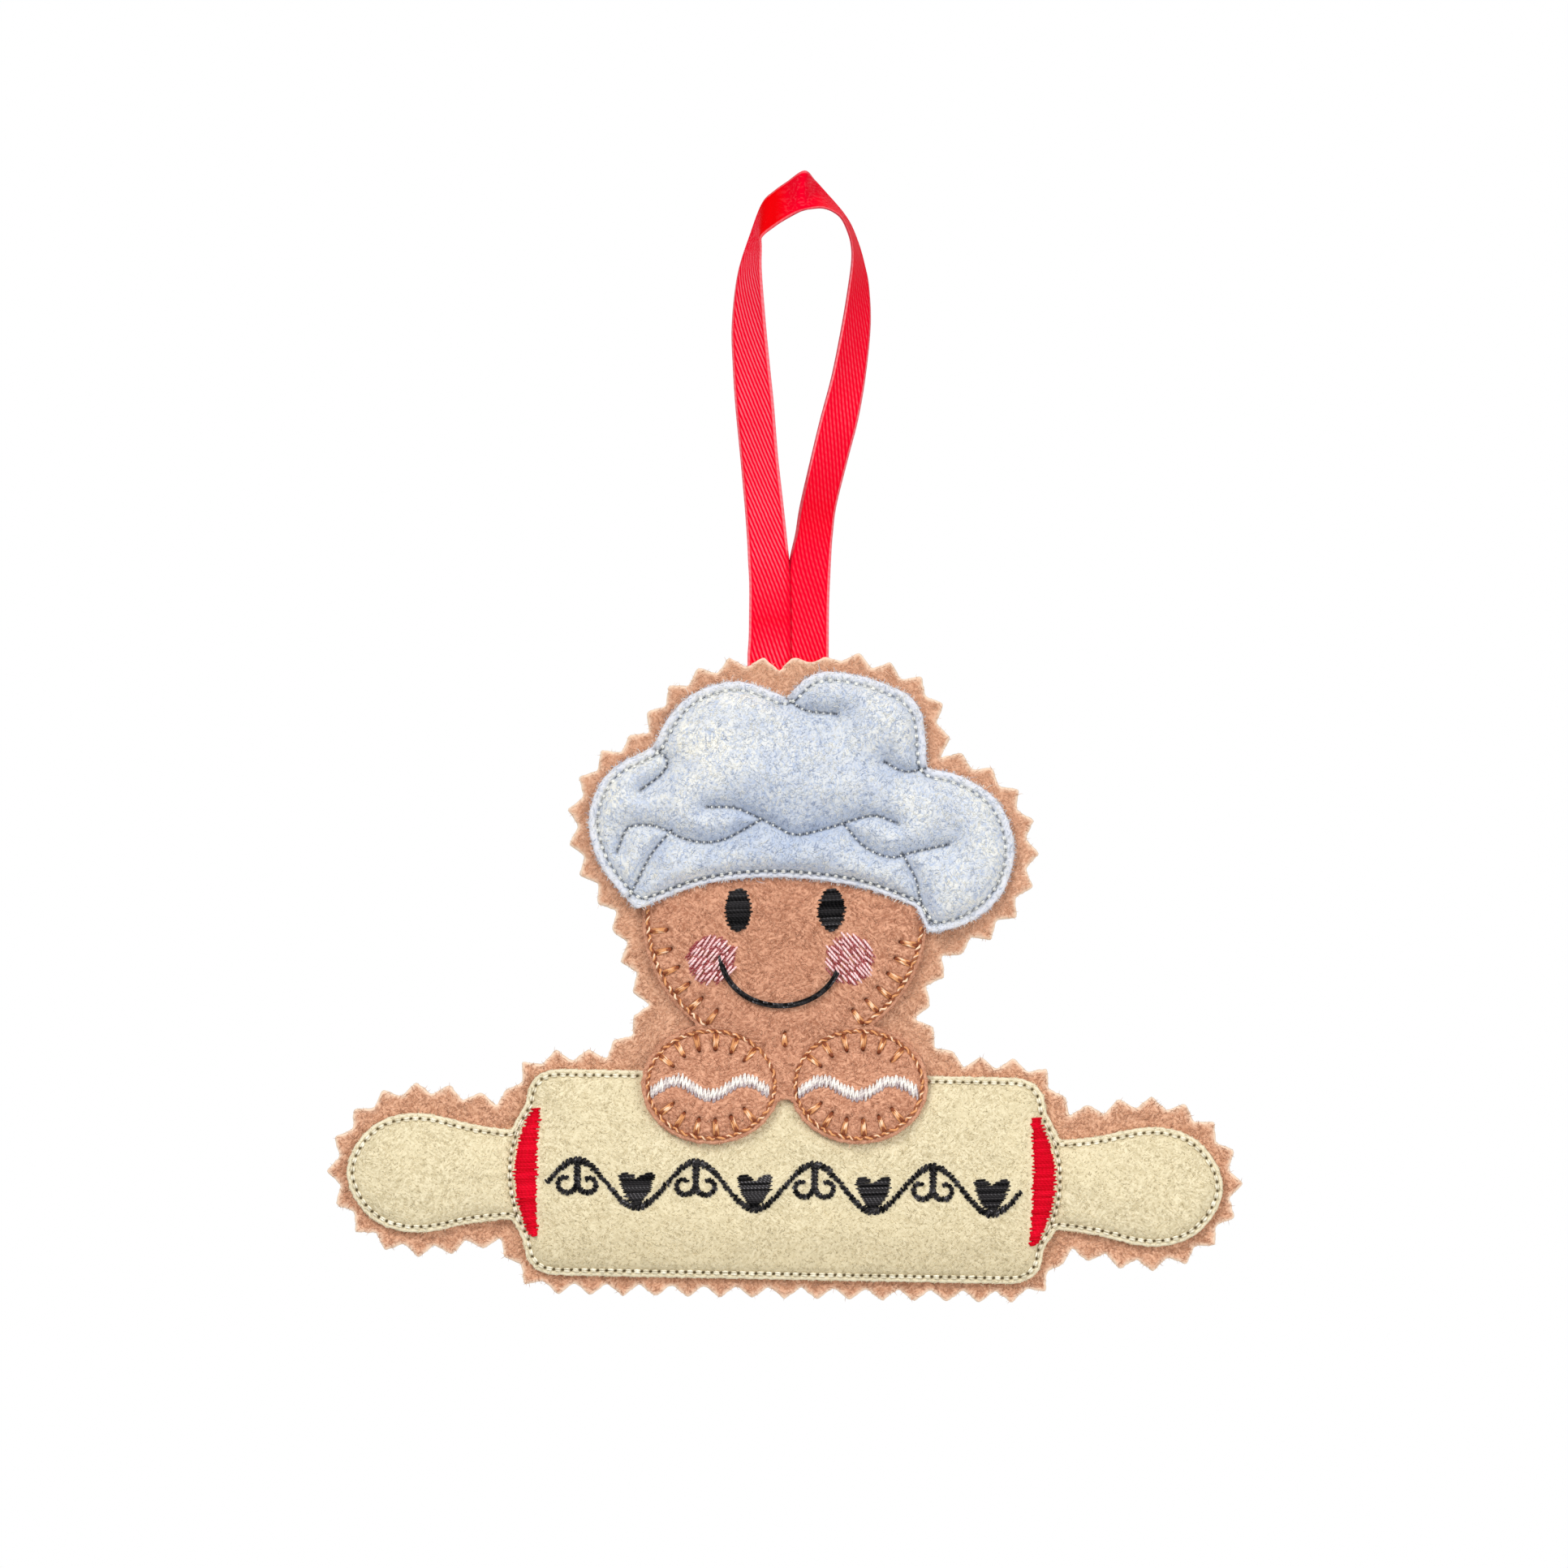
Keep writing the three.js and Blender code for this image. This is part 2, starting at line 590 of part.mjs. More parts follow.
// The ribbon

// Each ruling keeps the ribbon's full width: what the front view doesn't show of it runs back in depth to
// the outer edge
function ribbonLoop() {
  const edge = (k) => new THREE.CatmullRomCurve3(RIBBON_SHARES.map((shares) => {
    const outer = at(shares, RIBBON_WIDTH, LOOP_DROP);
    const inner = at(shares.slice(2), RIBBON_WIDTH, LOOP_DROP);
    const seen = outer.distanceTo(inner);
    const hidden = Math.sqrt(Math.max(0, RIBBON_WIDTH * RIBBON_WIDTH - seen * seen));
    const place = k ? inner : outer;
    return new THREE.Vector3(place.x, place.y + FLEX_GAP / 2, k ? 0 : -hidden);
  })).getPoints(RIBBON_STEPS * (RIBBON_SHARES.length - 1));
  const outer = edge(0);
  const inner = edge(1);
  const rings = outer.map((point, i) => {
    const across = inner[i].clone().sub(point).normalize();
    const ahead = outer[Math.min(i + 1, outer.length - 1)].clone().sub(outer[Math.max(i - 1, 0)]);
    const normal = across.clone().cross(ahead).normalize().multiplyScalar(RIBBON / 2);
    return [
      inner[i].clone().add(normal), inner[i].clone().sub(normal),
      point.clone().sub(normal), point.clone().add(normal),
    ];
  });
  return skin(rings, false);
}

function ribbonTail(way) {
  const near = RIBBON_X + way * RIBBON_SPACING / 2;
  const far = near + way * RIBBON_WIDTH;
  const low = -TAIL_LENGTH;
  const high = -FLEX_GAP / 2;
  const corners = [[near, low], [far, low], [far, high], [near, high]];
  const outline = corners.map(([x, y]) => new THREE.Vector2(x, y));
  return plate(way > 0 ? outline : outline.reverse(), -RIBBON / 2, RIBBON / 2);
}

// The stretch of the base that holds the tails fills the notch between two puffs of the hat
function tailCover() {
  const high = HAT_Y + HAT_HEIGHT / 2 - CORNER_SOFTNESS;
  const corners = [[-1, -TAIL_LENGTH], [1, -TAIL_LENGTH], [1, high], [-1, high]];
  return corners.map(([side, y]) => new THREE.Vector2(RIBBON_X + side * RIBBON_WIDTH, y));
}

// A piece's outline made wider and shifted, which the base follows at its margin
function marginOf(outline, extra, x = 0, y = 0) {
  return inset(outline, -extra).map((point) => point.add(new THREE.Vector2(x, y)));
}

function baseCovers() {
  return [
    marginOf(hat, HAT_MARGIN, HAT_MARGIN_RIGHT, -HAT_MARGIN_DROP),
    marginOf(head, HEAD_MARGIN),
    marginOf(pawOutline(-1), LEFT_PAW_MARGIN),
    marginOf(pawOutline(1), RIGHT_PAW_MARGIN),
    barrel,
    ...handles.map((outline, i) =>
      marginOf(outline, HANDLE_MARGIN, (i ? -1 : 1) * HANDLE_MARGIN_INWARDS, HANDLE_MARGIN_RISE)),
  ];
}

// The teeth at the ribbon stay clear of the line about which the loop swings
function baseOutline(outlines) {
  return pinked(traceAround([...outlines, tailCover()], BASE_MARGIN)).map((point) => {
    const nearRibbon = Math.abs(point.x - RIBBON_X) < RIBBON_WIDTH + TOOTH_PITCH / 2;
    return nearRibbon ? new THREE.Vector2(point.x, Math.min(point.y, -TOOTH_CLEAR)) : point;
  });
}

function stabiliser(outline) {
  const half = RIBBON_WIDTH + RIBBON_SPACING + NAP_GAP;
  const low = -TAIL_LENGTH - 2 * NAP_GAP;
  const slot = [[-half, low], [half, low], [half, FELT], [-half, FELT]]
    .map(([x, y]) => new THREE.Vector2(RIBBON_X + x, y));
  const sheet = solid(plate(outline, -STABILISER / 2, STABILISER / 2));
  return fromSolid(sheet.subtract(solid(plate(slot, -RIBBON, RIBBON))));
}

// The thread work

function hatStitching(outline, seams, face) {
  const edge = stitches(inset(outline, SEW_INSET), true, face);
  const lines = seams.map((seam) => stitches(seam, false, face));
  return fromSolid(joined([edge, ...lines]));
}

function pinStitching(barrel, handles) {
  const outer = stitches(inset(barrel, SEW_INSET), true, onLevel(LOW_FRONT));
  const ends = handles.map((outline) => {
    const line = spaced(inset(outline, SEW_INSET), RUN_WIDTH / 2, false);
    const shown = line.filter((point) => signedDistance(barrel, point) > -SEW_INSET - RUN_WIDTH / 2);
    return stitches(shown, false, onLevel(LOW_FRONT));
  });
  const covered = joined(gingerbreadOutlines().map((outline) => through(grown(outline))));
  return fromSolid(joined([outer, ...ends]).subtract(covered));
}

// Blanket stitch: a run along the edge, and a spike inwards at every step
function blanket(line, closed, keepSpike) {
  const lift = (point) => LOW_FRONT + gingerbreadLift(point.y);
  const roots = spaced(line, SPIKE_PITCH, closed);
  const spikes = roots.map((root, i) => {
    const way = direction(roots, i, closed);
    return [root, root.clone().add(new THREE.Vector2(-way.y, way.x).multiplyScalar(SPIKE_LENGTH))];
  }).filter(keepSpike);
  const bars = spikes.map((spike) => stitches(spike, false, lift, SPIKE_LENGTH, SPIKE_WIDTH));
  return fromSolid(joined([stitches(line, closed, lift, SPIKE_PITCH), ...bars]));
}

function pawStitching(way) {
  const line = inset(pawOutline(way), SEW_INSET);
  const clear = ICING_WIDTH + SPIKE_WIDTH;
  return blanket(line, true, (spike) => Math.abs(spike[1].y - PAW_Y + ICING_DROP) > clear);
}

// The head's stitches show between the brim and the paw on each side
function headStitching(way, hat) {
  const from = way > 0 ? -Math.PI / 2 : -Math.PI - HEAD_RUN_RISE;
  const to = way > 0 ? HEAD_RUN_RISE : -Math.PI / 2;
  const halfWidth = HEAD_HALF_WIDTH - SEW_INSET;
  const halfHeight = HEAD_HALF_HEIGHT - SEW_INSET;
  const side = new THREE.EllipseCurve(0, HEAD_Y, halfWidth, halfHeight, from, to).getPoints(ELLIPSE_STEPS);
  const paw = pawOutline(way);
  const shown = side.filter((point) => Math.abs(point.x) > PAW_X
    && signedDistance(hat, point) > RUN_WIDTH && signedDistance(paw, point) > 0);
  return blanket(shown, false, (spike) => spike.every((point) => signedDistance(hat, point) > RUN_WIDTH));
}

function chinStitch() {
  const foot = CHIN_Y + SEW_INSET;
  const line = [new THREE.Vector2(0, foot), new THREE.Vector2(0, foot + SPIKE_LENGTH)];
  return stitches(line, false, (point) => LOW_FRONT + gingerbreadLift(point.y), SPIKE_LENGTH, SPIKE_WIDTH);
}

function icing(way) {
  const half = ICING_LENGTH / 2;
  const count = Math.round(ICING_LENGTH / SATIN_ROW);
  const line = [];
  for (let i = 0; i <= count; i += 1) {
    const x = ICING_LENGTH * i / count - half;
    const wave = -ICING_WAVE * Math.cos(2 * Math.PI * x / ICING_PERIOD);
    line.push(new THREE.Vector2(way * PAW_X + x, PAW_Y - ICING_DROP + wave));
  }
  return satin(line, onLevel(ICING_WIDTH / 2), HIGH_FRONT + THREAD_GAP);
}

function eye(way) {
  const line = [-1, 1].map((end) => new THREE.Vector2(way * EYE_X, EYE_Y + end * EYE_HALF_HEIGHT));
  const width = (share) => Math.max(SATIN_JAG * 2, EYE_HALF_WIDTH * Math.sqrt(1 - (2 * share - 1) ** 2));
  return satin(line, width, LOW_FRONT + THREAD_GAP, SATIN_ROW / 2);
}

// Loose slanting strokes of one thread that turns at the edge of the cheek
function cheek(way) {
  const centre = new THREE.Vector2(FACE_X + way * CHEEK_X, CHEEK_Y);
  const strokes = Math.round(2 * CHEEK_RADIUS / CHEEK_ROW);
  const turns = [];
  for (let i = 0; i <= strokes; i += 1) {
    const off = CHEEK_RADIUS * (2 * i / strokes - 1) * (1 - 1 / strokes);
    const reach = Math.sqrt(CHEEK_RADIUS * CHEEK_RADIUS - off * off);
    const place = new THREE.Vector2(i % 2 ? reach : -reach, off);
    turns.push(place.rotateAround(new THREE.Vector2(), CHEEK_SLANT).add(centre));
  }
  const back = LOW_FRONT + THREAD_GAP;
  const bars = turns.slice(1).map((turn, i) => bar(turns[i], turn, CHEEK_THREAD, back, back + THREAD / 2));
  return fromSolid(joined(bars));
}

// A straight bar from one point to another, square at its ends and long enough to meet the next bar
function bar(a, b, width, back, front) {
  const along = b.clone().sub(a).normalize().multiplyScalar(width / 2);
  const across = new THREE.Vector2(along.y, -along.x);
  return plate([
    a.clone().sub(along).add(across), b.clone().add(along).add(across),
    b.clone().add(along).sub(across), a.clone().sub(along).sub(across),
  ], back, front);
}

// The smile rises over the cheeks at its ends
function mouth() {
  const smile = new THREE.EllipseCurve(FACE_X, MOUTH_Y, MOUTH_HALF_WIDTH, MOUTH_DROP, Math.PI, SMILE_END)
    .getPoints(ELLIPSE_STEPS);
  const overCheek = (point) => {
    const near = Math.hypot(Math.abs(point.x - FACE_X) - CHEEK_X, point.y - CHEEK_Y) - CHEEK_RADIUS;
    return THREE.MathUtils.clamp(1 - (near - THREAD) / RUN_PITCH, 0, 1);
  };
  const rise = THREAD / 2 + NAP_GAP;
  return stitches(smile, false, (point) => LOW_FRONT + rise * overCheek(point), RUN_PITCH, MOUTH_THREAD);
}

// A red crescent at each end of the barrel, inside the run that follows the bulge
function band(way) {
  const side = BARREL_HALF_HEIGHT - BARREL_CORNER;
  const half = side - BAND_END_GAP;
  const edge = (x, bulge, reach) => {
    const points = [];
    for (let i = 0; i <= BAND_ROWS; i += 1) {
      const y = half * (2 * i / BAND_ROWS - 1);
      const jag = i % 2 ? SATIN_JAG : -SATIN_JAG;
      points.push(new THREE.Vector2(x + bulge * (1 - (y / reach) ** 2) + jag, y));
    }
    return points;
  };
  const outer = edge(BARREL_HALF_LENGTH - SEW_INSET - RUN_WIDTH / 2 - THREAD_GAP, BARREL_BULGE, side);
  const inner = edge(BARREL_HALF_LENGTH - BAND_INSET, BAND_CURVE, half);
  const outline = [...inner, ...outer.reverse()].map(({ x, y }) => onPin(new THREE.Vector2(way * x, y)));
  const back = LOW_FRONT + THREAD_GAP;
  return plate(way > 0 ? outline.reverse() : outline, back, back + SATIN);
}

function heart(x, y, size) {
  const foot = -size / 2;
  const [cleft, hip, flank, lobe, rise] = HEART_SHARES.map((share) => share * size);
  const shape = new THREE.Shape();
  shape.moveTo(0, foot);
  shape.bezierCurveTo(-hip, flank, -lobe, rise, 0, cleft);
  shape.bezierCurveTo(lobe, rise, hip, flank, 0, foot);
  return tidy(shape.getPoints(BARREL_STEPS + 2)).map((point) => point.add(new THREE.Vector2(x, y)));
}

// A tendril that hangs from the stem and winds in on itself, to the right or the left
function curl(way) {
  const line = [new THREE.Vector2()];
  for (let i = 0; i <= CURL_STEPS; i += 1) {
    const share = i / CURL_STEPS;
    const turn = Math.PI * (1 + CURL_TURNS * share);
    const radius = CURL_RADIUS * (1 - CURL_CLOSING * share);
    const across = way * (CURL_RADIUS + radius * Math.cos(turn));
    line.push(new THREE.Vector2(across, radius * Math.sin(turn) - CURL_DROP));
  }
  return line;
}

// A waving stem across the barrel, with a heart in each hollow above it and two tendrils in each below
function scroll() {
  const back = LOW_FRONT + THREAD_GAP;
  const count = Math.round(SCROLL_LENGTH / SATIN_ROW);
  const stem = (x) => SCROLL_WAVE * Math.sin(2 * Math.PI * SCROLL_WAVES * x / SCROLL_LENGTH) - SCROLL_DROP;
  const line = [];
  for (let i = 0; i <= count; i += 1) {
    const x = SCROLL_LENGTH * (i / count - 1 / 2);
    line.push(onPin(new THREE.Vector2(x, stem(x))));
  }
  const swell = (share) => {
    const wave = Math.sin(2 * Math.PI * SCROLL_WAVES * share) ** 2;
    return THREE.MathUtils.lerp(SCROLL_THIN, SCROLL_THICK, wave) / 2;
  };
  const taper = (share) => THREE.MathUtils.lerp(SCROLL_THICK, SCROLL_THIN, share) / 2;
  const parts = [satin(line, swell, back)];
  for (let i = 0; i < 2 * SCROLL_WAVES; i += 1) {
    const x = SCROLL_LENGTH * ((i + 1 / 2) / (2 * SCROLL_WAVES) - 1 / 2);
    const y = stem(x);
    if (y < -SCROLL_DROP) {
      parts.push(plate(heart(x, y + HEART_SIZE / 2, HEART_SIZE).map(onPin), back, back + SATIN));
    } else {
      for (const way of [-1, 1]) {
        const winding = curl(way).map((point) => onPin(point.add(new THREE.Vector2(x, y))));
        parts.push(satin(winding, taper, back));
      }
    }
  }
  return fromSolid(joined(parts));
}

function backSeam(line) {
  return stitches(line, true, onLevel(SEAM_DEPTH - BASE_FRONT), RUN_PITCH, RUN_WIDTH, -1);
}

// The scene

function named(name, geometry, finish) {
  geometry.rotateX(Math.PI / 2);
  geometry.computeVertexNormals();
  const mesh = new THREE.Mesh(geometry, new THREE.MeshStandardMaterial(finish));
  mesh.name = name;
  return mesh;
}

const hat = hatOutline();
const seams = hatSeams();
const barrel = barrelOutline();
const handles = [handleOutline(-1), handleOutline(1)];
const head = ellipse(0, HEAD_Y, HEAD_HALF_WIDTH, HEAD_HALF_HEIGHT);
const pieces = [hat, head, pawOutline(-1), pawOutline(1), barrel, ...handles];
const baseEdge = baseOutline(baseCovers());
const seamLine = seamAround(pieces);
const hatSheet = hatFelt(hat, seams);

const ornament = new THREE.Group();
ornament.position.set(0, 0, -LOOP_DROP);
ornament.add(
  named('ribbon_tail_left', ribbonTail(-1), RED_SATIN),
  named('ribbon_tail_right', ribbonTail(1), RED_SATIN),
  named('back_felt', backFelt(baseEdge, pieces), TAN),
  named('front_felt', plate(baseEdge, BASE_BACK, BASE_FRONT), TAN),
  named('stabiliser', stabiliser(spaced(seamLine, RUN_PITCH, true)), WHITE_SHEET),
  named('pin_felt', pinFelt([barrel, ...handles]), CREAM),
  named('pin_stitching', pinStitching(barrel, handles), CREAM_THREAD),
  named('gingerbread_felt', gingerbreadFelt(), BROWN),
  named('hat_stitching', hatStitching(hat, seams, faceOf(hatSheet)), CREAM_THREAD),
  named('hat_felt', hatSheet, PALE_BLUE),
  named('chin_stitch', chinStitch(), RUST_THREAD),
  named('mouth', mouth(), BLACK_THREAD),
  named('scroll_embroidery', scroll(), BLACK_THREAD),
  named('back_seam', backSeam(seamLine), CREAM_THREAD),
);
for (const [side, way] of [['left', -1], ['right', 1]]) {
  ornament.add(
    named(`head_stitching_${side}`, headStitching(way, hat), RUST_THREAD),
    named(`paw_stitching_${side}`, pawStitching(way), RUST_THREAD),
    named(`icing_${side}`, icing(way), WHITE_THREAD),
    named(`eye_${side}`, eye(way), BLACK_THREAD),
    named(`cheek_${side}`, cheek(way), PINK_THREAD),
    named(`band_${side}`, band(way), RED_THREAD),
  );
}

const hanger = new THREE.Group();
hanger.position.set(RIBBON_X, 0, -LOOP_DROP);
hanger.add(named('ribbon_loop', ribbonLoop(), RED_SATIN));

const feltOrnament = new THREE.Group();
feltOrnament.add(hanger, ornament);

export default feltOrnament;
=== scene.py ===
"""A felt Christmas ornament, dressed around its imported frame.

A gingerbread figure in a cook's hat peeps over a rolling pin. Sizes are millimetres in the panel: x to the
right, y up from the place where the ribbon leaves the felt, h towards the viewer. Panel turns them into the
frame's metres. The felts get a nap of real fibres, the sewing real strands, and the ribbon its whole length.
"""
import json
import logging
import math
from collections.abc import Callable, Sequence
from dataclasses import dataclass, field
from enum import Enum

import bmesh
import bpy
import numpy as np
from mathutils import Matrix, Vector
from mathutils.geometry import delaunay_2d_cdt
from mathutils.kdtree import KDTree


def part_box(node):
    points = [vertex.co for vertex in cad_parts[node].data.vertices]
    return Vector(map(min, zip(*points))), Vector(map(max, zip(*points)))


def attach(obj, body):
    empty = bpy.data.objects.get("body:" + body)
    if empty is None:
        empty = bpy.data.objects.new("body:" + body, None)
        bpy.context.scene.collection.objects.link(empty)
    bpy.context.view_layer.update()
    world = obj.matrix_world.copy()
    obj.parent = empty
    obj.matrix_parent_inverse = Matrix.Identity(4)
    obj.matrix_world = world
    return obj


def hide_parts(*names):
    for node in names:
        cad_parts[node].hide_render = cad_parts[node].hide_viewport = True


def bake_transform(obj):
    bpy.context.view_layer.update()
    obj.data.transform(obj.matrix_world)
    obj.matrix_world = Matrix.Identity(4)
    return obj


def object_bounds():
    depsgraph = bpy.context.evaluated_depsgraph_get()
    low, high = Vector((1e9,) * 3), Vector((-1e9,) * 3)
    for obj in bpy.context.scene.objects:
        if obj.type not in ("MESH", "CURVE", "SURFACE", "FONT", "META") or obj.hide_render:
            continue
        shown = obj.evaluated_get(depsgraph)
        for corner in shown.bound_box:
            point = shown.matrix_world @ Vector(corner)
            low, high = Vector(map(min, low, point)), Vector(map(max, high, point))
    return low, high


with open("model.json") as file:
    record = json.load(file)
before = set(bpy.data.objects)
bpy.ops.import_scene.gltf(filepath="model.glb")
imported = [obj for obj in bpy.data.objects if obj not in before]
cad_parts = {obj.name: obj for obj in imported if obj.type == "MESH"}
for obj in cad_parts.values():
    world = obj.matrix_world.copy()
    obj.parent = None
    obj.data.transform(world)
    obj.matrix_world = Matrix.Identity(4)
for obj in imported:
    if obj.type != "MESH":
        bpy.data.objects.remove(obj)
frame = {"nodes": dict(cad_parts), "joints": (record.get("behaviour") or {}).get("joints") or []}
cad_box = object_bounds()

log = logging.getLogger("felt_ornament")

Array = np.ndarray
Pair = tuple[float, float]
Triple = tuple[float, float, float]
Colour = tuple[float, float, float, float]
Height = Callable[[Array], Array]

MM = 0.001
SEED = 24
TINY = 1e-6
FELT_SPECULAR = 0.15
FELT_SHEEN = 0.08
SEAM_STEP = 0.25     # how finely a seam is sampled where felt sinks towards it, mm
OUTLINE_STEP = 0.3   # the same for the outline that a seam is moved in from
HEAD_CENTRE = (0.0, -38.9)
HEAD_HALF = (21.1, 20.3)
ORNAMENT = "ornament"


class Side(Enum):
    """The two sides of the figure, as the viewer sees them."""

    LEFT = -1
    RIGHT = 1

    @property
    def label(self) -> str:
        """The word that piece names end in."""
        return self.name.lower()


class Facing(Enum):
    """Which way the finished face of a felt looks."""

    FRONT = 1
    BACK = -1


def srgb(code: str) -> Colour:
    """Turns a colour as a screen shows it into Blender's linear numbers.

    Args:
        code: The colour's red, green and blue as six hexadecimal digits.

    Returns:
        The linear colour with full alpha.
    """
    shares = np.array([int(code[i:i + 2], 16) for i in (0, 2, 4)]) / 255
    linear = np.where(shares <= 0.04045, shares / 12.92, ((shares + 0.055) / 1.055) ** 2.4)
    return (*map(float, linear), 1.0)


def palette(codes: str) -> tuple[Colour, ...]:
    """Turns several colour codes with spaces between them into linear colours."""
    return tuple(map(srgb, codes.split()))


class Signal:
    """A shader socket that takes part in Python sums."""

    def __init__(self, tree: "Tree", socket: bpy.types.NodeSocket) -> None:
        """Wraps a socket of a tree."""
        self.tree = tree
        self.socket = socket

    def _math(self, operation: str, first: "Signal | float", second: "Signal | float") -> "Signal":
        """Adds a Math node for two values."""
        return self.tree.node("ShaderNodeMath", {"operation": operation}, {0: first, 1: second})

    def __add__(self, other: "Signal | float") -> "Signal":
        """Adds."""
        return self._math("ADD", self, other)

    def __radd__(self, other: float) -> "Signal":
        """Adds to a number on the left."""
        return self._math("ADD", other, self)

    def __sub__(self, other: "Signal | float") -> "Signal":
        """Subtracts."""
        return self._math("SUBTRACT", self, other)

    def __rsub__(self, other: float) -> "Signal":
        """Subtracts from a number on the left."""
        return self._math("SUBTRACT", other, self)

    def __mul__(self, other: "Signal | float") -> "Signal":
        """Multiplies."""
        return self._math("MULTIPLY", self, other)

    def __rmul__(self, other: float) -> "Signal":
        """Multiplies a number on the left."""
        return self._math("MULTIPLY", other, self)

    def __abs__(self) -> "Signal":
        """Drops the sign."""
        return self._math("ABSOLUTE", self, 0.0)

    def sine(self) -> "Signal":
        """The sine of the value."""
        return self._math("SINE", self, 0.0)

    def cosine(self) -> "Signal":
        """The cosine of the value."""
        return self._math("COSINE", self, 0.0)

    def between(self, low: float, high: float) -> "Signal":
        """The value as a share of the way from low to high, kept from 0 to 1."""
        settings = {"clamp": True, "interpolation_type": "SMOOTHSTEP"}
        return self.tree.node("ShaderNodeMapRange", settings, {0: self, 1: low, 2: high})


class Tree:
    """The node tree of a material or of the world."""

    def __init__(self, owner: bpy.types.Material | bpy.types.World) -> None:
        """Empties the owner's tree."""
        owner.use_nodes = True
        self.tree = owner.node_tree
        self.tree.nodes.clear()

    def node(
        self, kind: str, settings: dict | None = None, inputs: dict | None = None, output: int | str = 0
    ) -> Signal:
        """Adds a node.

        Args:
            kind: The node's type.
            settings: Its properties, set first.
            inputs: Numbers, colours or signals for its sockets, by name or index.
            output: The output to return.

        Returns:
            The chosen output.
        """
        made = self.tree.nodes.new(kind)
        for key, value in (settings or {}).items():
            setattr(made, key, value)
        for key, value in (inputs or {}).items():
            if isinstance(value, Signal):
                self.tree.links.new(value.socket, made.inputs[key])
            else:
                made.inputs[key].default_value = value
        return Signal(self, made.outputs[output])

    def end(self, kind: str, shader: Signal) -> None:
        """Sends a shader to an output node of a kind."""
        self.tree.links.new(shader.socket, self.tree.nodes.new(kind).inputs["Surface"])


class Shader(Tree):
    """The shader of one material."""

    def __init__(self, name: str) -> None:
        """Starts a material with an empty tree."""
        self.material = bpy.data.materials.new(name)
        super().__init__(self.material)

    def parts(self, vector: Signal) -> list[Signal]:
        """The three parts of a vector."""
        return [self.node("ShaderNodeSeparateXYZ", None, {"Vector": vector}, part) for part in range(3)]

    def painted(self, name: str) -> list[Signal]:
        """The three numbers that the vertices carry under a name."""
        return self.parts(self.node("ShaderNodeAttribute", {"attribute_name": name}, output="Vector"))

    def place(self) -> Signal:
        """The coordinates of the piece itself, in metres."""
        return self.node("ShaderNodeTexCoord", output="Object")

    def noise(self, place: Signal, size: float, detail: float = 2.0, twist: float = 0.0) -> Signal:
        """Cloudy noise.

        Args:
            place: The coordinates.
            size: The width of a patch in millimetres.
            detail: How many finer layers it has.
            twist: How far it is distorted.

        Returns:
            A value from 0 to 1.
        """
        inputs = {"Vector": place, "Scale": 1 / (size * MM), "Detail": detail, "Distortion": twist}
        return self.node("ShaderNodeTexNoise", None, inputs)

    def streaks(self, place: Signal, width: float, length: float, turn: float, sway: float) -> Signal:
        """Noise drawn out in one direction of the panel, like combed fibres.

        Args:
            place: The coordinates.
            width: How wide a streak's wave is, in millimetres.
            length: How long it is.
            turn: The direction of the streaks.
            sway: How far they wander sideways.

        Returns:
            A value from 0 to 1.
        """
        drift = self.node(
            "ShaderNodeTexNoise", None, {"Vector": place, "Scale": 0.4 / (length * MM), "Detail": 1.0}, 1
        )
        swayed = self.node(
            "ShaderNodeVectorMath", {"operation": "MULTIPLY_ADD"}, {0: drift, 1: (sway * MM,) * 3, 2: place}
        )
        combed = self.node(
            "ShaderNodeMapping", {"vector_type": "TEXTURE"},
            {"Vector": swayed, "Rotation": (0, turn, 0), "Scale": (length / width, 1, 1)},
        )
        return self.noise(combed, width, 1.0, 0.3)

    def mix(self, share: Signal | float, first: Signal | Colour, second: Signal | Colour) -> Signal:
        """Mixes two colours."""
        return self.node("ShaderNodeMix", {"data_type": "RGBA"}, {0: share, 6: first, 7: second}, 2)

    def bump(self, height: Signal, depth: float, strength: float) -> Signal:
        """A normal that rises with a height.

        Args:
            height: The height, 0 to 1.
            depth: What a height of 1 stands for, in millimetres.
            strength: The share of the effect.

        Returns:
            The normal.
        """
        return self.node(
            "ShaderNodeBump", None, {"Height": height, "Distance": depth * MM, "Strength": strength}
        )

    def surface(self, **inputs: "Signal | float | Colour") -> bpy.types.Material:
        """Ends the tree with a Principled shader and returns the material."""
        named = {key.replace("_", " "): value for key, value in inputs.items()}
        self.end("ShaderNodeOutputMaterial", self.node("ShaderNodeBsdfPrincipled", None, named))
        return self.material


